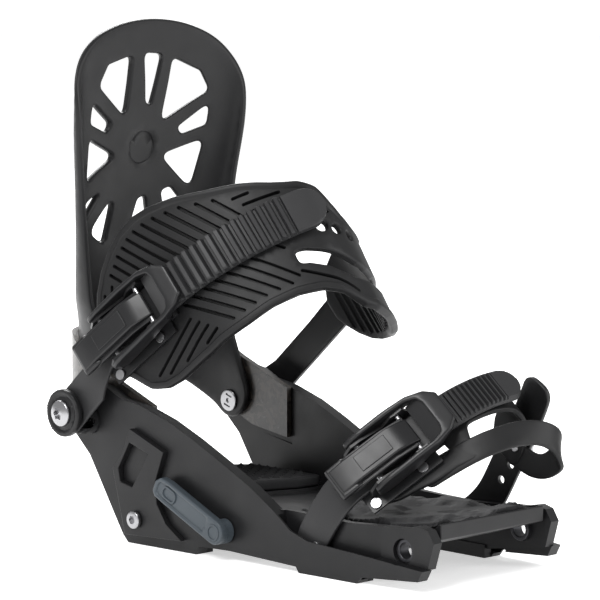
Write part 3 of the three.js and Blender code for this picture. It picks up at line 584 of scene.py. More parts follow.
# where the ribs inside the lobe start and end: (t, ...), (w, ...)
RIB_START = ((212, 242, 247, 256, 272), (41, 37, 22, 6, 4))
LOBE_EDGE = ((212, 240, 250, 258, 264, 270, 275), (53, 52, 49, 45, 40, 32, 23))
PAD_GAP = [
    (158.3, 9.5), (165, 11.5), (176, 17), (184, 21.5), (192, 25.5), (202, 27.5), (214, 28), (226, 27),
    (238, 25.5), (241.8, 25.3), (241.8, 28.3), (238, 30), (226, 35), (212, 37), (198, 36.5), (186, 34),
    (177, 29), (170, 23.5), (163, 19), (158.3, 17.5)]
PAD = 4.0  # thickness of the pad
LINK_HOLE = (257, 9.5, 2.4)  # t, w, radius of the hole for the screw that joins pad and extender
RIVET_RADIUS = 1.9
ROUND_HOLE_RADIUS = 3.0
SLOT_HALF, SLOT_LENGTH, SLOT_BRIDGE = 0.95, 30.0, 1.8
SLOT_END = 1.6  # left plain at both ends of a row
SLOT_CLEARANCE = 5  # from the middle of a round hole
# groups of parallel slots on the pad: (cell outline, direction of the slots in degrees, pitch)
SLOT_CELLS = [
    ([(38, -18), (43, -42), (58, -44), (62, -40), (86, -6), (60, -6)], 122, 5.0),
    ([(60, -50), (66, -60), (124, -64), (152, -14), (86, -6)], 62, 5.4),
    ([(126, -62), (190, -36), (196, -6), (172, 8), (152, -14)], 8, 5.2),
    ([(40, 0), (90, 0), (116, 38), (40, 38)], 160, 5.4),
    ([(92, 0), (156, 0), (156, 38), (118, 38)], 51, 5.4),
    ([(156, 8), (176, 8), (200, 40), (206, 60), (156, 40)], 37, 5.2),
    ([(204, 36), (250, 32), (252, 58), (204, 58)], 92, 4.6),
]


def cell_slots(cell, degrees, pitch, field):
    """Slots that fill a cell of the pad, broken into pieces and kept inside the field."""
    cell = np.array(cell, float)
    run = np.array((math.cos(math.radians(degrees)), math.sin(math.radians(degrees))))
    side = np.array((-run[1], run[0]))
    middle = cell.mean(0)
    reach = np.max(np.linalg.norm(cell - middle, axis=1))
    out = []
    rows = int(reach / pitch)
    for row in range(-rows, rows + 1):
        steps = np.arange(-reach, reach, 0.5)
        line = middle + row * pitch * side + steps[:, None] * run
        good = within(line, cell) & within(line, field)
        start = None
        for i, inside in enumerate([*good, False]):
            if inside and start is None:
                start = i
            if not inside and start is not None:
                a, b = steps[start] + SLOT_END, steps[i - 1] - SLOT_END
                count = max(1, round((b - a) / (SLOT_LENGTH + SLOT_BRIDGE)))
                each = (b - a - SLOT_BRIDGE * (count - 1)) / count
                base = middle + row * pitch * side
                for k in range(count if each > 3 else 0):
                    first = a + k * (each + SLOT_BRIDGE)
                    out.append(capsule(base + first * run, base + (first + each) * run, SLOT_HALF))
                start = None
    return out


def join_pieces(first, *others):
    """One mesh with several closed shells."""
    bm = bmesh.new()
    for mesh in (first, *others):
        bm.from_mesh(mesh)
    bm.to_mesh(first)
    bm.free()
    return first


def bar_mesh(place, ends, half, heights, steps=8):
    """A bar with sloping sides between two points of a curved place; heights are its crest and its foot."""
    a, b = np.array(ends[0], float), np.array(ends[1], float)
    run = (b - a) / np.linalg.norm(b - a)
    side = np.array((-run[1], run[0]))
    crest, bottom = heights
    corners = [(-half, bottom), (-0.55 * half, crest), (0.55 * half, crest), (half, bottom)]
    points = []
    for k in range(steps + 1):
        spot = a + (b - a) * k / steps
        points += [place(*(spot + across * side), h) for across, h in corners]
    faces = [(4 * k + c, 4 * k + (c + 1) % 4, 4 * k + 4 + (c + 1) % 4, 4 * k + 4 + c)
             for k in range(steps) for c in range(4)]
    faces += [(0, 1, 2, 3), tuple(4 * steps + c for c in (3, 2, 1, 0))]
    return mesh_of("bar", points, faces)


def ankle_strap():
    """The slotted saddle pad, with its gap, its holes and the ribs inside the lobe."""
    outline = eased(rounded(PAD_REAR_EDGE + PAD_FRONT_EDGE, 6), 2.4, 6)
    gap = dense(eased(rounded(PAD_GAP, 3), 2.0, 3), 2.0)
    field = inset(outline, 5.2)
    slots = []
    for cell, degrees, pitch in SLOT_CELLS:
        slots += cell_slots(cell, degrees, pitch, field)
    around_gap = inset(gap, -3.0)
    slots = [s for s in slots if not within(s, around_gap).any()]
    slots = [dense(s, 2.2) for s in slots]
    round_holes = [circle(t, w, ROUND_HOLE_RADIUS, 20) for t, w in ((178, 3), (186, 6), (195, 9.5))]
    rivet_holes = [circle(t, 7.5, RIVET_RADIUS, 14) for t in (42.5, 75)]
    middles = [hole.mean(0) for hole in round_holes + rivet_holes]
    slots = [s for s in slots if min(np.hypot(*(s - m).T).min() for m in middles) > SLOT_CLEARANCE]
    rim = edge_steps(PAD, 0.0, 1.3, lip=0.7, width=3.2)
    hole_rim = [[0.0, PAD - 0.9, 0.6], [0.4, PAD - 0.25, 0.2], [1.0, PAD, 0.0]]
    holes = [gap, *round_holes, circle(*LINK_HOLE, 16), *rivet_holes]
    mesh = sheet("ankle_saddle", outline, rim, ankle.place, holes=holes, hole_rim=hole_rim, recesses=slots,
                 recess_rim=slot_steps(PAD, 0.0, 2.6), spacing=3.4)
    ribs = []
    for t in np.arange(212, 272, 4.4):
        low, high = np.interp(t, *RIB_START), np.interp(t, *LOBE_EDGE) - 5
        ribs.append(bar_mesh(ankle.place, [(t, low), (t + 1, high)], 1.0, (-1.5, 0.3)))
    add_piece("ankle_saddle", join_pieces(mesh, *ribs), "ankle_pad")


ankle_strap()


def strap_tab(node, place, outline, holes, layer, bars):
    """A flat moulded strap with rounded edges, round holes and raised bars, each (u, v, u, v)."""
    low, top = layer
    ridge = [[0.0, top, low], [0.3, top + 0.5, low], [0.8, top + 0.8, low]]
    raised = [dense(capsule(bar[:2], bar[2:], 0.95), 1.5) for bar in bars]
    mesh = sheet(f"{node}_tab", dense(outline, 2.0), edge_steps(top, low, 0.7), place, holes=holes,
                 hole_rim=[[0.0, top - 0.4, low], [0.4, top, low]], recesses=raised, recess_rim=ridge,
                 spacing=3.5)
    add_piece(f"{node}_tab", mesh, node)


def ankle_extender():
    """The strap from the far hub bolt to the pad, with four bars across it."""
    foot = ankle.length
    stations = [
        (246, 3, 14), (249, 0, 17), (254, -1, 19), (262, -1, 20), (275, 1, 20), (300, 2, 20), (335, 2, 20),
        (345, 0, 18), (foot - 9, -9, 11), (foot - 4, -10, 10), (foot + 4, -10, 10), (foot + 9, -8, 8),
        (foot + 12, -4, 4)]
    holes = [circle(*LINK_HOLE, 16), circle(foot, 0, 3.6, 20)]
    bars = [(t, 4.5, t, 17.5) for t in (296, 302, 308, 314)]
    strap_tab("ankle_extender", ankle.place, rounded(band(stations), 5), holes, (4.3, 7.3), bars)


ankle_extender()


# ------------------------------------------------------------------ ladders
def ladder(node, strap, arm, half, span, teeth, middle, heights, rib_share):
    """
    A toothed strap: a plain arm given by stations (t, w0, w1), then ribs between the first two values of
    span and a rounded tip that ends at the third. heights are the underside, the valleys and the ribs.
    """
    first, last, tip = span
    low, plain, high = heights
    pitch = (last - first) / teeth
    stations = []
    arm_rows = np.array(arm, float)
    for t in np.arange(arm_rows[0, 0], first, 2.0):
        centre = np.interp(t, arm_rows[:, 0], arm_rows[:, 1:].mean(1))
        wide = np.interp(t, arm_rows[:, 0], (arm_rows[:, 2] - arm_rows[:, 1]) / 2)
        stations.append((t, centre, wide, 0.0))
    for t in np.linspace(first, last, teeth * 8 + 1):
        phase = ((t - first) / pitch) % 1.0
        lift = np.interp(phase, [0, 0.14, 0.24, 0.70, 0.86, 1.0], [0, 0.0, 1.0, 0.85, 0.0, 0])
        stations.append((t, None, half, lift))
    curve = 0.8 * half
    for t in np.linspace(last + 0.4, tip, 16):
        share = math.sqrt(max(0.0, 1 - ((curve - min(curve, tip - t)) / curve) ** 2))
        stations.append((t, None, max(0.6, half * share), 0.55))
    columns = [-1, -0.985, -0.93, -0.84, -0.80, -0.4, 0, 0.4, 0.80, 0.84, 0.93, 0.985, 1]
    drop = [0.9, 0.35, 0, 0, 0, 0, 0, 0, 0, 0, 0, 0.35, 0.9]
    points, faces = [], []
    for t, centre, wide, lift in stations:
        if centre is None:
            centre = float(np.interp(t, [first, tip], middle))
        top_row, bottom_row = [], []
        for column, fall in zip(columns, drop):
            rise = lift * (high - plain) if abs(column) < rib_share else 0.0
            w = centre + column * wide
            top_row.append(strap.place(t, w, plain + rise - fall))
            bottom_row.append(strap.place(t, w, low + 0.5 * fall))
        points += top_row + bottom_row
    n = len(columns)
    for i in range(len(stations) - 1):
        a, b = i * 2 * n, (i + 1) * 2 * n
        for k in range(n - 1):
            faces.append((a + k, a + k + 1, b + k + 1, b + k))
            faces.append((a + n + k, b + n + k, b + n + k + 1, a + n + k + 1))
        faces.append((a, b, b + n, a + n))
        faces.append((a + n - 1, a + 2 * n - 1, b + 2 * n - 1, b + n - 1))
    for base in (0, (len(stations) - 1) * 2 * n):
        faces.append([base + k for k in range(n)] + [base + n + k for k in reversed(range(n))])
    mesh = mesh_of(f"{node}_ribbed", points, faces, 32)
    add_piece(f"{node}_ribbed", mesh, node)


ladder("ankle_ladder", ankle,
       [(-12, -4, 4), (-9, -8.5, 8.5), (-4, -11, 11), (0, -11.3, 11.3), (26, -11, 11), (40, -20, 2),
        (92, -20, 2)],
       11, (96, 164, 181), 15, (-9, -6), (6.1, 7.9, 11.0), 0.99)
TOE_RISE = [(10, 0), (14, 14), (8, 24), (50, 0), (36, 42)]
toe = Strap(TOE_SCREW, 50, 42.8, [*TOE_RISE, (26, 95), (30, 5)])
toe_stiff = Strap(TOE_SCREW, 50, 42.8, TOE_RISE)  # the ladder doesn't follow the cap round the toe
ladder("toe_ladder", toe_stiff,
       [(-9, -9, 2), (-6, -13, 5), (0, -15, 6), (10, -16, 4.5), (26, -18, 2.5), (32, -18, 2), (78, -18, 2)],
       10, (82, 119, 132), 16, (-8, -8), (6.1, 8.2, 10.3), 0.93)


# ------------------------------------------------------------------ toe strap
CAP = 3.0  # thickness of the cap
CAP_REAR_EDGE = [
    (34, -14), (38, -16), (47, -16), (58, -16), (69, -15), (82, -14), (96, -13), (112, -13), (124, -13),
    (134, -13), (142, -12), (150, -10), (157, -6), (161, 0)]
CAP_FRONT_EDGE = [
    (161, 14), (157, 16), (150, 15), (142, 12), (134, 8), (124, 4), (112, 2), (96, 1.2), (93.5, 9),
    (92.5, 20), (88, 20), (83, 19), (80, 18), (66, 17), (58, 15), (47, 13), (38, 9), (34, 4)]
CAP_GAP = [(68, 0.6), (81, 0.6), (82, 8.8), (68, 8.8)]
CAP_BAND = [
    (-14, -19, 50, 1, -1), (-4, -12, 58, 1, -1), (5, -4, 65, 1, -1), (12, 6, 70, 1, -1.2),
    (18, 19, 73, 1, -1.6), (23, 31, 72, 1, -3), (25, 40, 67, 0.4, -3), (22, 45.5, 59, 0, -1),
    (14, 46.1, 53, 0, -1), (5, 46.1, 52, 0, -1), (-6, 46.1, 56, 0, -1), (-12, 46.1, 59, 0, -1)]
CAP_BAND_HALF = 6.5
ADJUSTER = [
    (-60, 48.8, 12.5, 1, -1), (-54, 48.7, 14, 1, -1), (-42, 48.5, 20, 1, -1), (-33, 48.1, 27, 1, -1),
    (-26, 47.5, 35, 1, -0.8), (-18, 46.9, 48, 1, -0.6), (-10, 46.7, 62, 1, -0.6), (-3, 46.6, 75, 1, -0.6),
    (3, 45.6, 86, 1, -0.6), (8, 43.6, 95, 1, -0.6)]


def toe_cap():
    """The cap over the toe, and the band that runs round in front of it."""
    outline = dense(eased(rounded(CAP_REAR_EDGE + CAP_FRONT_EDGE, 4), 2.0, 4), 2.0)
    rivet = circle(36.5, 8.5, RIVET_RADIUS, 14)
    hole_rim = [[0.0, CAP - 0.7, 0.5], [0.4, CAP - 0.15, 0.15], [0.9, CAP, 0.0]]
    body = sheet("toe_saddle", outline, edge_steps(CAP, 0.0, 0.9), toe.place,
                 holes=[dense(rounded(CAP_GAP, 2), 2.0), rivet], hole_rim=hole_rim, spacing=3.0)
    ribbon = Ribbon(CAP_BAND)
    half, end = CAP_BAND_HALF, ribbon.length
    strip = dense(rounded([(0, -half), (end, -half), (end, half), (0, half)], 5), 2.0)
    arm = sheet("toe_arm", strip, edge_steps(2.6, 0.0, 0.9), ribbon.place, spacing=3.0)
    add_piece("toe_saddle", join_pieces(body, arm), "toe_cap")


toe_cap()


def toe_adjuster():
    """The strap on the far side, with its holes and three bars near its tip."""
    ribbon = Ribbon(ADJUSTER)
    half, end = 9.5, ribbon.length
    outline = rounded([(0, -half), (end, -half), (end, half), (0, half)], 8)
    holes = [circle(*ribbon.nearest(x, z), 2.2, 16) for x, z in ((-20, 41), (-13, 50), TOE_SCREW)]
    bars = [(end - d, -4.5, end - d, 4.5) for d in (5, 9.5, 14)]
    strap_tab("toe_adjuster", ribbon.place, outline, holes, (0, 2.6), bars)


toe_adjuster()


# ------------------------------------------------------------------ buckles
def rigid(strap, base):
    """(t, w, h) in the flat frame of a strap at t = base."""
    y, rise, lean = strap.walk(base)
    out = np.array((0.0, -math.cos(lean), 0.0)) + math.sin(lean) * strap.along
    run = np.array((0.0, math.sin(lean), 0.0)) + math.cos(lean) * strap.along
    point = strap.origin + np.array((0.0, y, 0.0)) + rise * strap.along
    return lambda t, w, h: point + (t - base) * run + w * strap.across + h * out


def profile_block(place, points, w0, w1, sharp=40):
    """A (t, h) outline between two widths."""
    count = len(points)
    spots = [place(t, w0, h) for t, h in points] + [place(t, w1, h) for t, h in points]
    faces = [tuple(range(count)), tuple(reversed(range(count, 2 * count)))]
    faces += [(i, (i + 1) % count, count + (i + 1) % count, count + i) for i in range(count)]
    return mesh_of("block", spots, faces, sharp)


def buckle_lever(prefix, strap, t, long, middle):
    """A tapering frame with a rounded tip, open at the hub, and a scoop behind the tip."""
    end = t + long
    place = rigid(strap, t)
    outer = [(t + 8.6, 16.4), (t + 32, 16.4), (end - 14, 15.6), (end - 5, 13.0), (end, 8.5)]
    inner = [(end - 8.5, 7.5), (end - 10, 11.5), (end - 16, 13.3), (t + 8.6, 13.3)]
    # the open frame: up one side, round the tip, down the other side and back inside
    mirror = lambda half: [(a, -w) for a, w in reversed(half)]
    path = [*outer, *mirror(outer), *mirror(inner), *inner]
    outline = dense(rounded(path, 2.6), 1.3)
    tops = [(t + 8, 15.6), (t + 12, 17.6), (t + 18, 18.6), (t + 36, 19.2), (end - 16, 18.4),
            (end - 7, 16.8), (end, 14.8)]
    floors = [(t + 8, 9.4), (t + 13, 7.0), (t + 20, 7.2), (t + 34, 8.6), (end - 16, 11.4),
              (end - 8, 12.2), (end, 12.4)]

    def along(a, w, h):
        low = np.interp(a, *zip(*floors))
        high = np.interp(a, *zip(*tops))
        return place(a, middle + w, low + (high - low) * h / 10)

    steps = [[0.0, 8.7, 1.2], [0.2, 9.4, 0.6], [0.55, 9.85, 0.15], [1.0, 10.0, 0.0]]
    body = sheet(f"{prefix}_frame", outline, steps, along, spacing=1.6, sharp=50)
    scoop = profile_block(place, [(end - 8, 15.6), (end - 8, 12.6), (end - 17, 11.9), (end - 17, 13.0)],
                          middle - 12.6, middle + 12.6)
    add_piece(f"{prefix}_frame", join_pieces(body, scoop), f"{prefix}_buckle_lever")


def release_lever(prefix, strap, t, long, middle):
    """The pawl block: a narrow body with a flared thumb end, cheeks and a plain plate on top."""
    place = rigid(strap, t)
    pawl = t + long - 23
    body = [(t - 7, 15.6), (t - 5.6, 19.2), (t + 4, 20.4), (pawl - 9, 20.2), (pawl - 3, 17.6),
            (pawl + 2.6, 14.6), (pawl + 2.6, 12.2), (pawl - 1, 10.9), (pawl - 3, 11.2), (pawl - 7, 14.6),
            (t, 14.9)]
    cheek = [(t - 2, 15.2), (t + 6, 17.6), (pawl - 12, 17.4), (pawl + 1, 14.2), (pawl - 1, 11.2),
             (pawl - 4, 11.6), (t + 8, 14.9)]
    plate = [(t + 9, 19.6), (t + 9, 20.9), (pawl - 11, 20.8), (pawl - 11, 19.6)]
    thumb = [(t - 8, 15.4), (t - 6.6, 18.6), (t + 3, 19.2), (t + 6, 17), (t, 15.0)]
    blocks = [profile_block(place, points, middle - half, middle + half) for points, half in
              ((body, 7.4), (cheek, 9.6), (plate, 4.8), (thumb, 9.4))]
    soft = [bevelled(block, width) for block, width in zip(blocks, (1.2, 0.8, 0.35, 1.2))]
    add_piece(f"{prefix}_release", join_pieces(*soft), f"{prefix}_release_lever")


for lever in (buckle_lever, release_lever):
    lever("ankle", ankle, 38, 65, -9)
    lever("toe", toe, 32, 62, -8)


# ------------------------------------------------------------------ lock lever
def ring_points(radius, count):
    """Points round a circle, as a list."""
    turns = np.linspace(0, 2 * math.pi, count, endpoint=False)
    return [(radius * math.cos(turn), radius * math.sin(turn)) for turn in turns]


def lock_lever():
    """The blade with a sunk field, the eye near its tip, and the ring and boss on the shaft."""
    rise = math.radians(155.5)  # the lever's slope when it is locked
    run = np.array((math.cos(rise), 0, math.sin(rise)))
    side = np.array((-math.sin(rise), 0, math.cos(rise)))
    centre = np.array((LOCK_AXIS[0], 0, LOCK_AXIS[1]))
    place = lambda a, b, h: centre + a * run + b * side + np.array((0, -61.0 - h, 0))
    nose = [(6.4 * math.cos(math.radians(d)), 6.4 * math.sin(math.radians(d))) for d in range(90, 271, 15)]
    tip = [(40, -6.2), (46, -5.4), (49, -2), (49, 4), (46.5, 6.1), (40, 6.4)]
    outline = dense(rounded([*nose, *tip], 1.5), 1.6)
    field = [(7.5, -4.6), (39, -4.6), (46, -3.6), (47, -1), (47, 3), (45, 4.4), (39, 4.7), (7.5, 4.7),
             (6.3, 0)]
    rim = edge_steps(5.0, 0.0, 0.8)
    dip = [[0.0, 5.0, 0.0], [0.3, 4.7, 0.0], [0.7, 4.1, 0.0]]
    body = sheet("lock_blade", outline, rim, place, recesses=[dense(rounded(field, 2), 1.6)], recess_rim=dip,
                 spacing=2.2)
    eye = dense(rounded([(33, -2.3), (41.5, -2.3), (41.5, 2.3), (33, 2.3)], 2.2), 1.2)
    collar = sheet("lock_eye", inset(eye, -1.4), [[0.0, 4.1, 3.4], [0.3, 4.9, 3.4]], place, holes=[eye],
                   hole_rim=[[0.0, 4.4, 3.4], [0.3, 4.9, 3.4]], spacing=2)
    ring = sheet("lock_ring", circle(0, 0, 4.7, 32), [[0.0, 4.6, 3.0], [0.4, 5.5, 3.0]], place,
                 holes=[circle(0, 0, 3.1, 28)], hole_rim=[[0.0, 4.6, 3.0], [0.4, 5.5, 3.0]], spacing=2)
    boss = profile_block(lambda a, b, h: place(a, h, b), ring_points(6.4, 36), -3.8, 0.4)
    add_piece("lock_blade", join_pieces(body, collar, ring, boss), "lock_lever")


lock_lever()


# ------------------------------------------------------------------ bolt heads
def star(radius, depth, lobes=6):
    """The outline of a six-lobed socket."""
    turn = np.linspace(0, 2 * math.pi, 48, endpoint=False)
    reach = radius - depth * (0.5 - 0.5 * np.cos(lobes * turn)) ** 0.8
    return np.stack((reach * np.cos(turn), reach * np.sin(turn)), 1)


def bolt_head(node, centre, side, inner, height, radius, dome, sockets, depth, shank):
    """A domed head facing side along Y, starting at y = inner, with sockets, and its shank (radius, y, y)."""
    x, z = centre
    place = lambda u, v, h: np.array((x + u, inner + side * h, z + v))
    lift = lambda u, v: -dome * (u * u + v * v) / radius ** 2
    dip = [[0.0, height, 0.0], [0.08, height - depth, 0.0]]
    rim = edge_steps(height, 0.0, min(0.5, 0.3 * height))
    head = sheet(f"{node}_head", circle(0, 0, radius, 40), rim, place, recess_rim=dip, relief=lift,
                 recesses=[dense(socket, 1.5) for socket in sockets], spacing=max(0.8, radius / 6))
    rod = profile_block(lambda a, b, h: np.array((x + a, b, z + h)), ring_points(shank[0], 24), *shank[1:])
    add_piece(f"{node}_head", join_pieces(head, rod), node)


def bolts():
    """The hub bolts, the cap screws of the cover plates and the slotted highback bolts."""
    socket = star(3.6, 0.9)
    bolt_head("near_strap_bolt", ANKLE_HUB, -1, -73.0, 3.3, 7.0, 1.6, [socket], 2.0, (3.2, -73.2, -52.2))
    bolt_head("far_strap_bolt", ANKLE_HUB, 1, 67.9, 3.7, 8.0, 1.8, [socket], 2.0, (3.2, 52.2, 68.0))
    for side, node in ((-1, "near_cover_screw"), (1, "far_cover_screw")):
        bolt_head(node, COVER_SCREW, side, side * 62.6, 2.7, 4.7, 0.4, [circle(0, 0, 2.4, 6)], 1.9,
                  (2.5, *sorted((side * 51, side * 62.8))))
    slots = [capsule((-1.1 * way, 3.4 * way), (2.6 * way, 2.2 * way), 0.55) for way in (-1, 1)]
    for side, node in ((-1, "near_highback_bolt"), (1, "far_highback_bolt")):
        bolt_head(node, HIGHBACK_AXIS, -side, side * 43.7, 1.3, 6.0, 0.2, [*slots, circle(0, 0, 1.4, 12)],
                  0.8, (4.2, *sorted((side * 43.6, side * 59))))


bolts()


def washer():
    """The wide hub washer with a groove round its face."""
    place = lambda u, v, h: np.array((ANKLE_HUB[0] + u, -69.2 - h, ANKLE_HUB[1] + v))

    def lift(u, v):
        away = math.hypot(u, v)
        return -0.9 * float(np.interp(away, [8.0, 8.6, 9.6, 10.2], [0, 1, 1, 0]))

    mesh = sheet("hub_washer", circle(0, 0, 12.8, 64), edge_steps(3.8, 0.0, 1.0), place,
                 holes=[circle(0, 0, 3.5, 24)], hole_rim=[[0.0, 3.6, 0.0], [0.3, 3.8, 0.0]], spacing=0.8,
                 relief=lift)
    add_piece("hub_washer", mesh, "near_strap_washer")


washer()


# ------------------------------------------------------------------ footbeds
HEEL_TOP, HEEL_FLOOR = 30.0, 24.3
TOOTH_SIZES = {"Tooth radius": 0.0031, "Tooth height": 0.0019}  # metres
TOOTH_SINK = 0.05  # how far the teeth reach into the pad, mm


def tooth_group(tooth):
    """A tree that sets a copy of the tooth, scaled to its sizes, on every point of a mesh."""
    group = bpy.data.node_groups.new("teeth", "GeometryNodeTree")
    group.interface.new_socket("Geometry", in_out="INPUT", socket_type="NodeSocketGeometry")
    for title in TOOTH_SIZES:
        group.interface.new_socket(title, in_out="INPUT", socket_type="NodeSocketFloat")
    group.interface.new_socket("Geometry", in_out="OUTPUT", socket_type="NodeSocketGeometry")
    start, end = group.nodes.new("NodeGroupInput"), group.nodes.new("NodeGroupOutput")
    to_points = group.nodes.new("GeometryNodeMeshToPoints")
    info = group.nodes.new("GeometryNodeObjectInfo")
    info.inputs["Object"].default_value = tooth
    size = group.nodes.new("ShaderNodeCombineXYZ")
    on_points = group.nodes.new("GeometryNodeInstanceOnPoints")
    realize = group.nodes.new("GeometryNodeRealizeInstances")
    paint = group.nodes.new("GeometryNodeSetMaterial")
    paint.inputs["Material"].default_value = LOOKS["grip_foam"]
    link = group.links.new
    link(start.outputs["Geometry"], to_points.inputs["Mesh"])
    link(start.outputs["Tooth radius"], size.inputs["X"])
    link(start.outputs["Tooth radius"], size.inputs["Y"])
    link(start.outputs["Tooth height"], size.inputs["Z"])
    link(to_points.outputs["Points"], on_points.inputs["Points"])
    link(info.outputs["Geometry"], on_points.inputs["Instance"])
    link(size.outputs["Vector"], on_points.inputs["Scale"])
    link(on_points.outputs["Instances"], realize.inputs["Geometry"])
    link(realize.outputs["Geometry"], paint.inputs["Geometry"])
    link(paint.outputs["Geometry"], end.inputs["Geometry"])
    return group


def heel_teeth(base):
    """Small three-sided teeth in staggered rows over the top of the heel pad."""
    unit = bpy.data.meshes.new("tooth")
    unit.from_pydata([(1, 0, 0), (-0.6, 0.9, 0), (-0.6, -0.9, 0), (-0.15, 0, 1)], [],
                     [(0, 2, 1), (0, 1, 3), (1, 2, 3), (2, 0, 3)])
    tooth = bpy.data.objects.new("tooth", unit)
    bpy.context.scene.collection.objects.link(tooth)
    points = [(x + 3.2 * (row % 2), y) for row, y in enumerate(np.arange(-38, 38.1, 4.6))
              for x in np.arange(-212, -142, 6.4)]
    inside = within(np.array(points), inset(base, 4.0))
    level = HEEL_TOP - TOOTH_SINK
    placed = [tuple((np.array((x, y, level)) + SHIFT) / 1000) for (x, y), good in zip(points, inside) if good]
    spots = bpy.data.meshes.new("tooth_spots")
    spots.from_pydata(placed, [], [])
    holder = bpy.data.objects.new("heel_teeth", spots)
    bpy.context.scene.collection.objects.link(holder)
    modifier = holder.modifiers.new("teeth", "NODES")
    modifier.node_group = tooth_group(tooth)
    for item in modifier.node_group.interface.items_tree:
        if item.name in TOOTH_SIZES:
            modifier[item.identifier] = TOOTH_SIZES[item.name]
    graph = bpy.context.evaluated_depsgraph_get()
    mesh = bpy.data.meshes.new_from_object(holder.evaluated_get(graph))
    bpy.data.objects.remove(holder)
    bpy.data.objects.remove(tooth)
    return mesh


def heel_pad():
    """The foam block under the heel, with its teeth."""
    rear = [(-198, -41.6), (-207, -32), (-211, -16), (-212, 0), (-211, 16), (-207, 32), (-198, 41.6)]
    front = [(-142, 41.6), (-144, 24), (-150, 9.6), (-152, 0), (-150, -9.6), (-144, -24), (-142, -41.6)]
    outline = [(x + 1.5, y) for x, y in rear] + [(x - 1.5, y) for x, y in front]
    base = dense(eased(rounded(outline, 4), 2.0, 3), 2.0)
    place = lambda x, y, h: np.array((x, y, h))
    mesh = sheet("heel_bed", base, edge_steps(HEEL_TOP, HEEL_FLOOR, 1.2), place, spacing=5.0)
    piece = add_piece("heel_bed", join_pieces(mesh, heel_teeth(base)), "heel_pad")
    piece.data.materials.clear()
    piece.data.materials.append(LOOKS["grip_foam"])


heel_pad()


def toe_pad():
    """A foam pad whose top is cut in flat terraces, like the lines of a map."""
    floor = [(-83, 25.8), (-19.5, 25.9), (-19.4, 27.9), (11, 30.8), (13, 32.2)]
    crown = [(-83, 30.0), (-19, 31.6), (13, 34.8)]

    def terraces(x, y):
        spot = Vector((x * 0.055, y * 0.055, 3.7))
        level = 3.2 * noise.noise(spot) + 1.3 * noise.noise(spot * 2.6)
        stepped = math.floor(level * 2.2) + min(1.0, ((level * 2.2) % 1.0) / 0.22)
        return 0.6 * max(-2.0, min(2.0, stepped)) - 1.25

    def place(x, y, h):
        low, high = np.interp(x, *zip(*floor)), np.interp(x, *zip(*crown))
        return np.array((x, y, low + (high - low) * h / 10 if h < 5 else high + (h - 10)))

    edge = []
    for x in np.arange(-82, 13.1, 0.7):
        edge.append((x, -36.7 - 0.75 * math.cos(x * 1.7)))
    outline = np.array(edge + [(x, -y) for x, y in reversed(edge)])
    steps = [[0.0, 8.8, 1.0], [0.5, 9.5, 0.3], [1.3, 10.0, 0.0]]
    mesh = sheet("toe_bed", dense(outline, 2.0), steps, place, spacing=1.0, relief=terraces, sharp=60)
    piece = add_piece("toe_bed", mesh, "toe_pad")


toe_pad()


# ------------------------------------------------------------------ hard parts
for node, width in [
        ("chassis", 1.3), ("heelcup", 0.8), ("near_cover_plate", 1.3), ("far_cover_plate", 1.3),
        ("near_pivot_bush", 0.5), ("far_pivot_bush", 0.5), ("near_toe_strap_screw", 0.3),
        ("far_toe_strap_screw", 0.3), ("heel_catch_plate", 0.5), ("toe_ramp", 1.0), ("lock_shaft", 0.3),
        ("near_lock_hook", 0.5), ("far_lock_hook", 0.5), ("lean_block", 1.0), ("lean_pin", 0.3),
        ("lean_lever", 1.2), ("ankle_link_screw", 0.4), ("toe_clamp_screw", 0.4)]:
    softened(node, width)
for prefix in ("ankle", "toe"):
    for part, width in (("buckle_base", 0.4), ("lever_pin", 0.4), ("release_pin", 0.3), ("base_rivet_1", 0.4),
                        ("base_rivet_2", 0.4)):
        softened(f"{prefix}_{part}", width)


# ------------------------------------------------------------------ studio
FILL_LIGHT = 0.50  # strength of the white world on the object
BACKDROP = 1.2  # its strength as the camera sees it
FLOOR_GLOW = 0.55


def area_light(name, place, target, size, power):
    """A rectangular lamp aimed at target."""
    lamp = bpy.data.lights.new(name, "AREA")
    lamp.shape, lamp.size, lamp.size_y = "RECTANGLE", size[0], size[1]
    lamp.energy = power
    made = bpy.data.objects.new(name, lamp)
    bpy.context.scene.collection.objects.link(made)
    made.location = place
    made.rotation_euler = (Vector(target) - Vector(place)).to_track_quat("-Z", "Y").to_euler()


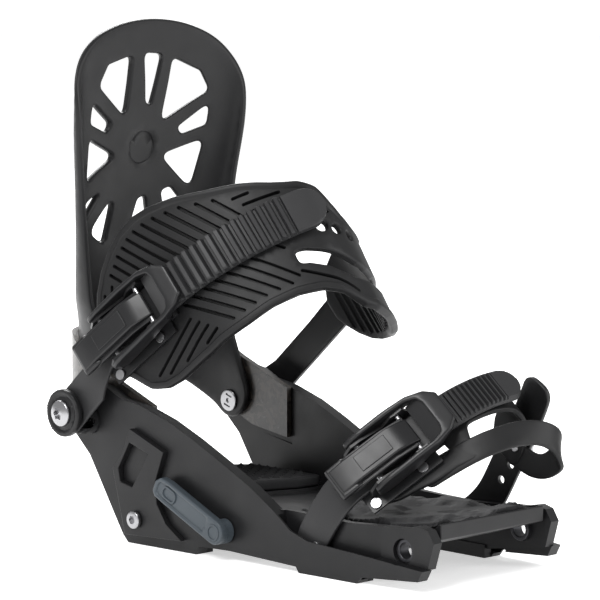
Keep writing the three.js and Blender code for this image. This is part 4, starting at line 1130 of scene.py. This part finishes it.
def studio():
    """A white floor, a white world and three lamps."""
    floor_mesh = bpy.data.meshes.new("floor")
    reach = 6.0
    floor_mesh.from_pydata(
        [(-reach, -reach, 0), (reach, -reach, 0), (reach, reach, 0), (-reach, reach, 0)], [], [(0, 1, 2, 3)])
    floor = bpy.data.objects.new("floor", floor_mesh)
    bpy.context.scene.collection.objects.link(floor)
    paint = bpy.data.materials.new("floor")
    paint.use_nodes = True
    surface = paint.node_tree.nodes["Principled BSDF"]
    surface.inputs["Base Color"].default_value = (0.9, 0.9, 0.9, 1)
    surface.inputs["Roughness"].default_value = 0.8
    surface.inputs["Emission Color"].default_value = (1, 1, 1, 1)
    surface.inputs["Emission Strength"].default_value = FLOOR_GLOW
    floor_mesh.materials.append(paint)
    world = bpy.data.worlds.new("studio")
    world.use_nodes = True
    tree = world.node_tree
    path = tree.nodes.new("ShaderNodeLightPath")
    level = tree.nodes.new("ShaderNodeMapRange")
    level.inputs["To Min"].default_value = FILL_LIGHT
    level.inputs["To Max"].default_value = BACKDROP
    tree.links.new(path.outputs["Is Camera Ray"], level.inputs["Value"])
    tree.links.new(level.outputs["Result"], tree.nodes["Background"].inputs["Strength"])
    tree.nodes["Background"].inputs["Color"].default_value = (1, 1, 1, 1)
    bpy.context.scene.world = world
    bpy.context.scene.view_settings.view_transform = "Standard"
    area_light("key", (0.4, -1.5, 1.7), (0, 0, 0.12), (1.1, 1.1), 42)
    area_light("side", (2.0, 0.9, 0.9), (0, 0, 0.12), (0.8, 1.4), 22)
    area_light("back", (-1.5, 0.6, 1.5), (0, 0, 0.15), (1.4, 0.7), 46)


def camera():
    """A long lens from the front quarter on the buckles' side."""
    lens = bpy.data.cameras.new("camera")
    lens.sensor_width = 36
    lens.lens = 204
    lens.clip_end = 50
    view = bpy.data.objects.new("camera", lens)
    bpy.context.scene.collection.objects.link(view)
    target = Vector((0.0220, -0.0068, 0.1323))
    turn, tilt, away = math.radians(45), math.radians(6.5), 1.770
    back = Vector((math.sin(turn) * math.cos(tilt), -math.cos(turn) * math.cos(tilt), math.sin(tilt)))
    view.location = target + away * back
    view.rotation_euler = back.to_track_quat("Z", "Y").to_euler()
    bpy.context.scene.camera = view


studio()
camera()
